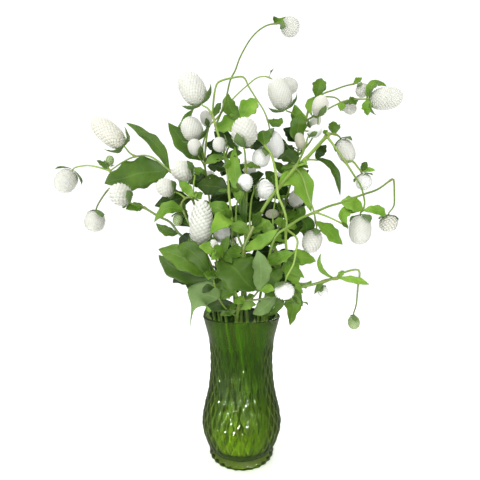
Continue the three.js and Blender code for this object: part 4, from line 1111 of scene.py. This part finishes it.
class Finish(Nodes):
    """A material with one Principled shader, given its values by their labels."""

    def __init__(self, name, **values):
        self.material = bpy.data.materials.new(name)
        self.material.use_nodes = True
        super().__init__(self.material.node_tree)
        self.set(**values)

    def set(self, **values):
        self.fill(self.tree.nodes["Principled BSDF"], values)
        return self.material

    def soften(self, weight, radius):
        """Light that scatters under the surface, with its reach in each colour in millimetres."""
        self.set(Subsurface_Weight=weight, Subsurface_Radius=[r * MM for r in radius],
                 Subsurface_Scale=1)

    def lit_through(self, share):
        """Light reaches what stands behind: shadows of this piece lose the share."""
        self.set(Alpha=self.less(1, self.times(self.ray("Shadow"), share)))


def new_group(name, inputs, outputs):
    group = bpy.data.node_groups.new(name, "ShaderNodeTree")
    for label, value in inputs.items():
        socket = group.interface.new_socket(label, in_out="INPUT", socket_type="NodeSocketFloat")
        socket.default_value = value
    for label in outputs:
        group.interface.new_socket(label, in_out="OUTPUT", socket_type="NodeSocketFloat")
    return Nodes(group), group.nodes.new("NodeGroupInput").outputs, group.nodes.new("NodeGroupOutput")


def mottle_group():
    """Uneven growth: soft patches between two shares, on object coordinates."""
    nodes, start, end = new_group("mottle", {"Scale": 60.0, "Low": 0.0, "High": 1.0}, ["Share"])
    noise = nodes.node("TexNoise", Vector=nodes.node("TexCoord").outputs["Object"], Scale=start["Scale"],
                       Detail=4)
    share = nodes.band(noise.outputs["Fac"], 0.3, 0.7, start["Low"], start["High"])
    nodes.fill(end, dict(Share=share))
    return nodes.tree


def veins_group():
    """Midrib, curved side veins and margin of a leaf, from its own UV map."""
    nodes, start, end = new_group("leaf_veins", {"Side Veins": 9.0, "Slant": 1.3},
                                  ["Midrib", "Veins", "Margin", "Height"])
    times, less = nodes.times, nodes.less
    across, along = nodes.uv("leaf")
    off = times(nodes.math("ABSOLUTE", less(across, 0.5)), 2)
    midrib = less(1, times(off, 11), clamp=True)
    slanted = less(times(along, start["Side Veins"]), times(nodes.math("POWER", off, 1.5), start["Slant"]))
    wave = nodes.math("ABSOLUTE", less(nodes.math("FRACT", slanted), 0.5))
    veins = times(less(1, times(wave, 9), clamp=True), less(1.05, off, clamp=True))
    margin = times(less(off, 0.9, clamp=True), 10)
    height = less(1, nodes.most(midrib, times(veins, 0.6)))
    nodes.fill(end, dict(Midrib=midrib, Veins=veins, Margin=margin, Height=height))
    return nodes.tree


MOTTLE = mottle_group()
VEINS = veins_group()

# Colours. A leaf's are painted shade and light: in the shade, in half light and in full light, and of its
# ribs.
LEAF_TOP = ((0.006, 0.020, 0.001), (0.098, 0.235, 0.012), (0.272, 0.462, 0.058), (0.22, 0.34, 0.08))
LEAF_UNDER = ((0.010, 0.026, 0.004), (0.115, 0.195, 0.050), (0.225, 0.340, 0.125), (0.21, 0.31, 0.11))
STEM_DARK = ((0.080, 0.145, 0.012), (0.150, 0.260, 0.026))
STEM_LIGHT = ((0.200, 0.340, 0.035), (0.320, 0.470, 0.085))
STEM_BLUSH = (0.27, 0.22, 0.08)
STEM_PAINTED_SHADE = (0.045, 0.085, 0.010)
STEM_WET = (0.38, 0.48, 0.18)
BRACTS = {  # at a bract's root, in its body and at its point
    "white": ((0.56, 0.58, 0.46), (0.71, 0.71, 0.65), (0.77, 0.77, 0.72)),
    # Its darker roots are the bracts' own tint and also painted shade between the open spikes.
    "spiky": ((0.46, 0.50, 0.36), (0.76, 0.77, 0.71), (0.88, 0.88, 0.85)),
    # Painted light: a paler white for heads deep in the bunch's shade.
    "bright": ((0.80, 0.81, 0.72), (0.90, 0.90, 0.88), (0.94, 0.94, 0.92)),
    "cream": ((0.56, 0.56, 0.44), (0.72, 0.71, 0.62), (0.80, 0.79, 0.71)),
    "striped": ((0.36, 0.36, 0.24), (0.76, 0.75, 0.68), (0.93, 0.93, 0.90)),
    "grey": ((0.56, 0.57, 0.48), (0.68, 0.68, 0.62), (0.76, 0.76, 0.70)),
    "beige": ((0.46, 0.48, 0.32), (0.60, 0.59, 0.46), (0.68, 0.66, 0.54)),
    "green": ((0.16, 0.28, 0.07), (0.30, 0.43, 0.15), (0.60, 0.68, 0.44)),
}
# The glass is deepest round the bulb's shoulder: height in metres, and colour there.
GLASS_SHADES = [(0.045, (0.370, 0.480, 0.060)), (0.075, (0.250, 0.345, 0.050)),
                (0.105, (0.345, 0.470, 0.120)), (0.140, (0.355, 0.480, 0.130)),
                (0.160, (0.460, 0.600, 0.220))]
# The foot's green, made light and patched towards white: its tint and painted light for the glow and glints
# in its glass.
FOOT_TINT_AND_PAINTED_LIGHT = ((0.64, 0.80, 0.18), (1.0, 1.0, 0.60))
GLASS_DEPTH = (0.55, 0.75, 0.25)
FOOT_END = 0.008  # height in metres, where the clear foot turns into the body
FLOOR_SHADES = ((0.92, 0.92, 0.92), (0.94, 0.94, 0.94))
FLOOR_REFLECTED = (0.2, 0.2, 0.2)


def leaf_finish(name, shades, roughness, vein_share, relief):
    """Leaf green between three shades of painted light, picked by its tone, with lighter ribs and
    margin that dim in painted shade, and the ribs pressed in.
    """
    finish = Finish(name, Roughness=roughness, Specular_IOR_Level=0.12)
    dark, middle, light, rib = shades
    times, most = finish.times, finish.most
    veins = finish.group(VEINS)
    tone = finish.attribute("tone")
    # Painted shade and light: the tone picks between the shades, with patches of the full-light green where
    # it is high.
    base = finish.mix(tone, dark, middle)
    base = finish.mix(times(times(finish.patches(38), 0.8), tone), base, light)
    ribs = most(times(veins["Midrib"], 0.6), times(veins["Veins"], vein_share))
    ribs = times(most(ribs, times(veins["Margin"], 0.3)), most(tone, 0.25))
    finish.soften(0.1, (1.0, 2.0, 0.4))
    return finish.set(Base_Color=finish.mix(ribs, base, rib),
                      Normal=finish.bump(veins["Height"], 0.5, relief))


def stem_finish():
    """Juicy stems, a little reddish at the swollen joints, darkened by painted shade low in the bunch
    and in the vase, and pale in the water.
    """
    finish = Finish("stem_green", Roughness=0.42, Specular_IOR_Level=0.3)
    mix = finish.mix
    patches, up = finish.patches(16), finish.up()
    base = mix(finish.attribute("tone"), mix(patches, *STEM_DARK), mix(patches, *STEM_LIGHT))
    base = mix(finish.times(finish.attribute("joint"), 0.4), base, STEM_BLUSH)
    # Painted shade: darker below 235 mm and most below 195 mm.
    base = mix(finish.band(up, 0.235, 0.195, to_high=0.7), base, STEM_PAINTED_SHADE)
    return finish.set(Base_Color=mix(finish.band(up, 0.115, 0.06), base, STEM_WET),
                      Normal=finish.bump(finish.patches(700), 0.25, 0.2))


def bract_finish(name, root, body, tip):
    """Papery bracts: tinted at the root, fine lengthwise lines, paler at the point."""
    finish = Finish(name, Roughness=0.62, Specular_IOR_Level=0.3)
    across, along = finish.uv("bract")
    base = finish.mix(finish.band(along, 0.15, 0.6), root, body)
    base = finish.mix(finish.band(along, 0.55, 1), base, tip)
    lines = finish.math("SINE", finish.times(across, 44))
    finish.soften(0.3, (0.8, 0.8, 0.7))
    return finish.set(Base_Color=finish.mix(finish.patches(90, High=0.3), base, root),
                      Normal=finish.bump(lines, 0.2, 0.1))


def glass_finish():
    """Deep green pressed glass, soft to look through, with a fire-polished gloss on top, and patches
    of painted light on its foot.
    """
    finish = Finish("green_glass", IOR=1.45, Transmission_Weight=1, Specular_Tint=(0.06, 0.10, 0.02),
                    Coat_Weight=0.3, Coat_Roughness=0.03)
    up = finish.up()
    # Painted light: pale patches on the foot.
    foot = finish.mix(finish.patches(70), *FOOT_TINT_AND_PAINTED_LIGHT)
    finish.set(Base_Color=finish.mix(finish.band(up, FOOT_END, 0.012), foot, finish.ramp(up, GLASS_SHADES)),
               Roughness=finish.band(up, FOOT_END, 0.016, 0.02, 0.2),
               Normal=finish.bump(finish.patches(45), 0.12, 0.3))
    depth = finish.node("VolumeAbsorption", Color=GLASS_DEPTH, Density=60)
    finish.fill(finish.tree.nodes["Material Output"], dict(Volume=depth.outputs["Volume"]))
    finish.lit_through(0.7)
    return finish.material


def water_finish():
    finish = Finish("clear_water", Base_Color=(0.97, 0.99, 0.95), Roughness=0, IOR=1.333,
                    Transmission_Weight=1)
    finish.lit_through(0.95)
    return finish.set(Normal=finish.bump(finish.patches(30), 0.05, 0.2))


def floor_finish():
    """A white floor, with a little light of its own, and dim in reflections."""
    finish = Finish("pale_floor", Roughness=0.8, Specular_IOR_Level=0.2, Emission_Strength=0.25)
    glossy = finish.ray("Glossy")
    white = finish.mix(finish.patches(3), *FLOOR_SHADES)
    return finish.set(Base_Color=finish.mix(glossy, white, FLOOR_REFLECTED),
                      Emission_Color=finish.mix(glossy, (1, 1, 1), FLOOR_REFLECTED))


def all_finishes():
    looks = {name: bract_finish("bract_" + name, *shades) for name, shades in BRACTS.items()}
    looks["stem"] = stem_finish()
    looks["leaf_top"] = leaf_finish("leaf_top", LEAF_TOP, 0.5, 0.16, 0.35)
    looks["leaf_under"] = leaf_finish("leaf_under", LEAF_UNDER, 0.62, 0.3, 0.3)
    return looks


# The studio: pale floor, soft lights, and the camera at the photo's place.

CAMERA_AT = (-2, -398, 262)
LENS = 22.3
HORIZON_SHIFT = 0.027  # the horizon lies a little below the middle of the picture
LIGHTS = [  # name, place, what it looks at, width and height in metres, and power
    ("front", (-0.3, -1.25, 0.75), (0, 0, 0.3), (0.8, 0.8), 7),
    ("top", (-0.5, -0.3, 1.6), (0, 0, 0.3), (0.9, 0.9), 9),
    ("back", (0.3, 1.2, 1.1), (0, 0, 0.35), (0.8, 0.8), 7),
    # Windows, which only glint in the glass.
    ("window", (-0.6, -1.1, 0.16), (0, 0, 0.09), (0.2, 0.12), 15),
    ("window", (0.05, -1.25, 0.34), (0, 0, 0.09), (0.2, 0.12), 15),
]


def soft_box(name, place, aim, size, power):
    lamp = bpy.data.lights.new(name, "AREA")
    lamp.shape = "RECTANGLE"
    lamp.size, lamp.size_y = size
    lamp.energy = power
    made = add_object(name, lamp)
    made.location = place
    made.rotation_mode = "QUATERNION"
    made.rotation_quaternion = (Vector(aim) - Vector(place)).to_track_quat("-Z", "Y")
    made.visible_diffuse = made.visible_transmission = name != "window"


def soft_room():
    """White to the camera, brighter from above on the object, and dim in its reflections."""
    world = bpy.data.worlds.new("soft_room")
    world.use_nodes = True
    nodes = Nodes(world.node_tree)
    sky = nodes.band(nodes.up("Generated"), -0.3, 1, 0.55, 1)
    light = nodes.times(sky, nodes.less(1, nodes.times(nodes.ray("Glossy"), 0.86)))
    seen = nodes.times(nodes.ray("Camera"), 1.15)
    nodes.fill(world.node_tree.nodes["Background"], dict(Color=(1, 1, 1), Strength=nodes.most(light, seen)))
    return world


def studio():
    bpy.ops.object.select_all(action="DESELECT")
    bpy.ops.mesh.primitive_plane_add(size=12, location=(0, 0, 0))
    floor = bpy.context.object
    floor.name = "floor"
    floor.data.materials.append(floor_finish())
    scene = bpy.context.scene
    scene.world = soft_room()
    for light in LIGHTS:
        soft_box(*light)
    scene.view_settings.view_transform = "Standard"
    camera = bpy.data.cameras.new("camera")
    camera.lens = LENS
    camera.sensor_width = 36
    camera.shift_y = HORIZON_SHIFT
    scene.camera = add_object("camera", camera)
    scene.camera.location = Vector(CAMERA_AT) * MM
    scene.camera.rotation_euler = (math.pi / 2, 0, 0)


studio()
LOOKS = all_finishes()
TEMPLATES = {"leaf": grid_template(8, 18), "young": grid_template(6, 10), "bract_leaf": grid_template(6, 8),
             "bract": bract_template(), "core": core_template()}
SHARED = SharedDraws()
for plant in STEMS:
    plant_pieces(plant, SHARED, TEMPLATES, LOOKS)
finish_piece(vase_piece(glass_finish()), "vase")
finish_piece(water_piece(water_finish()), "water")
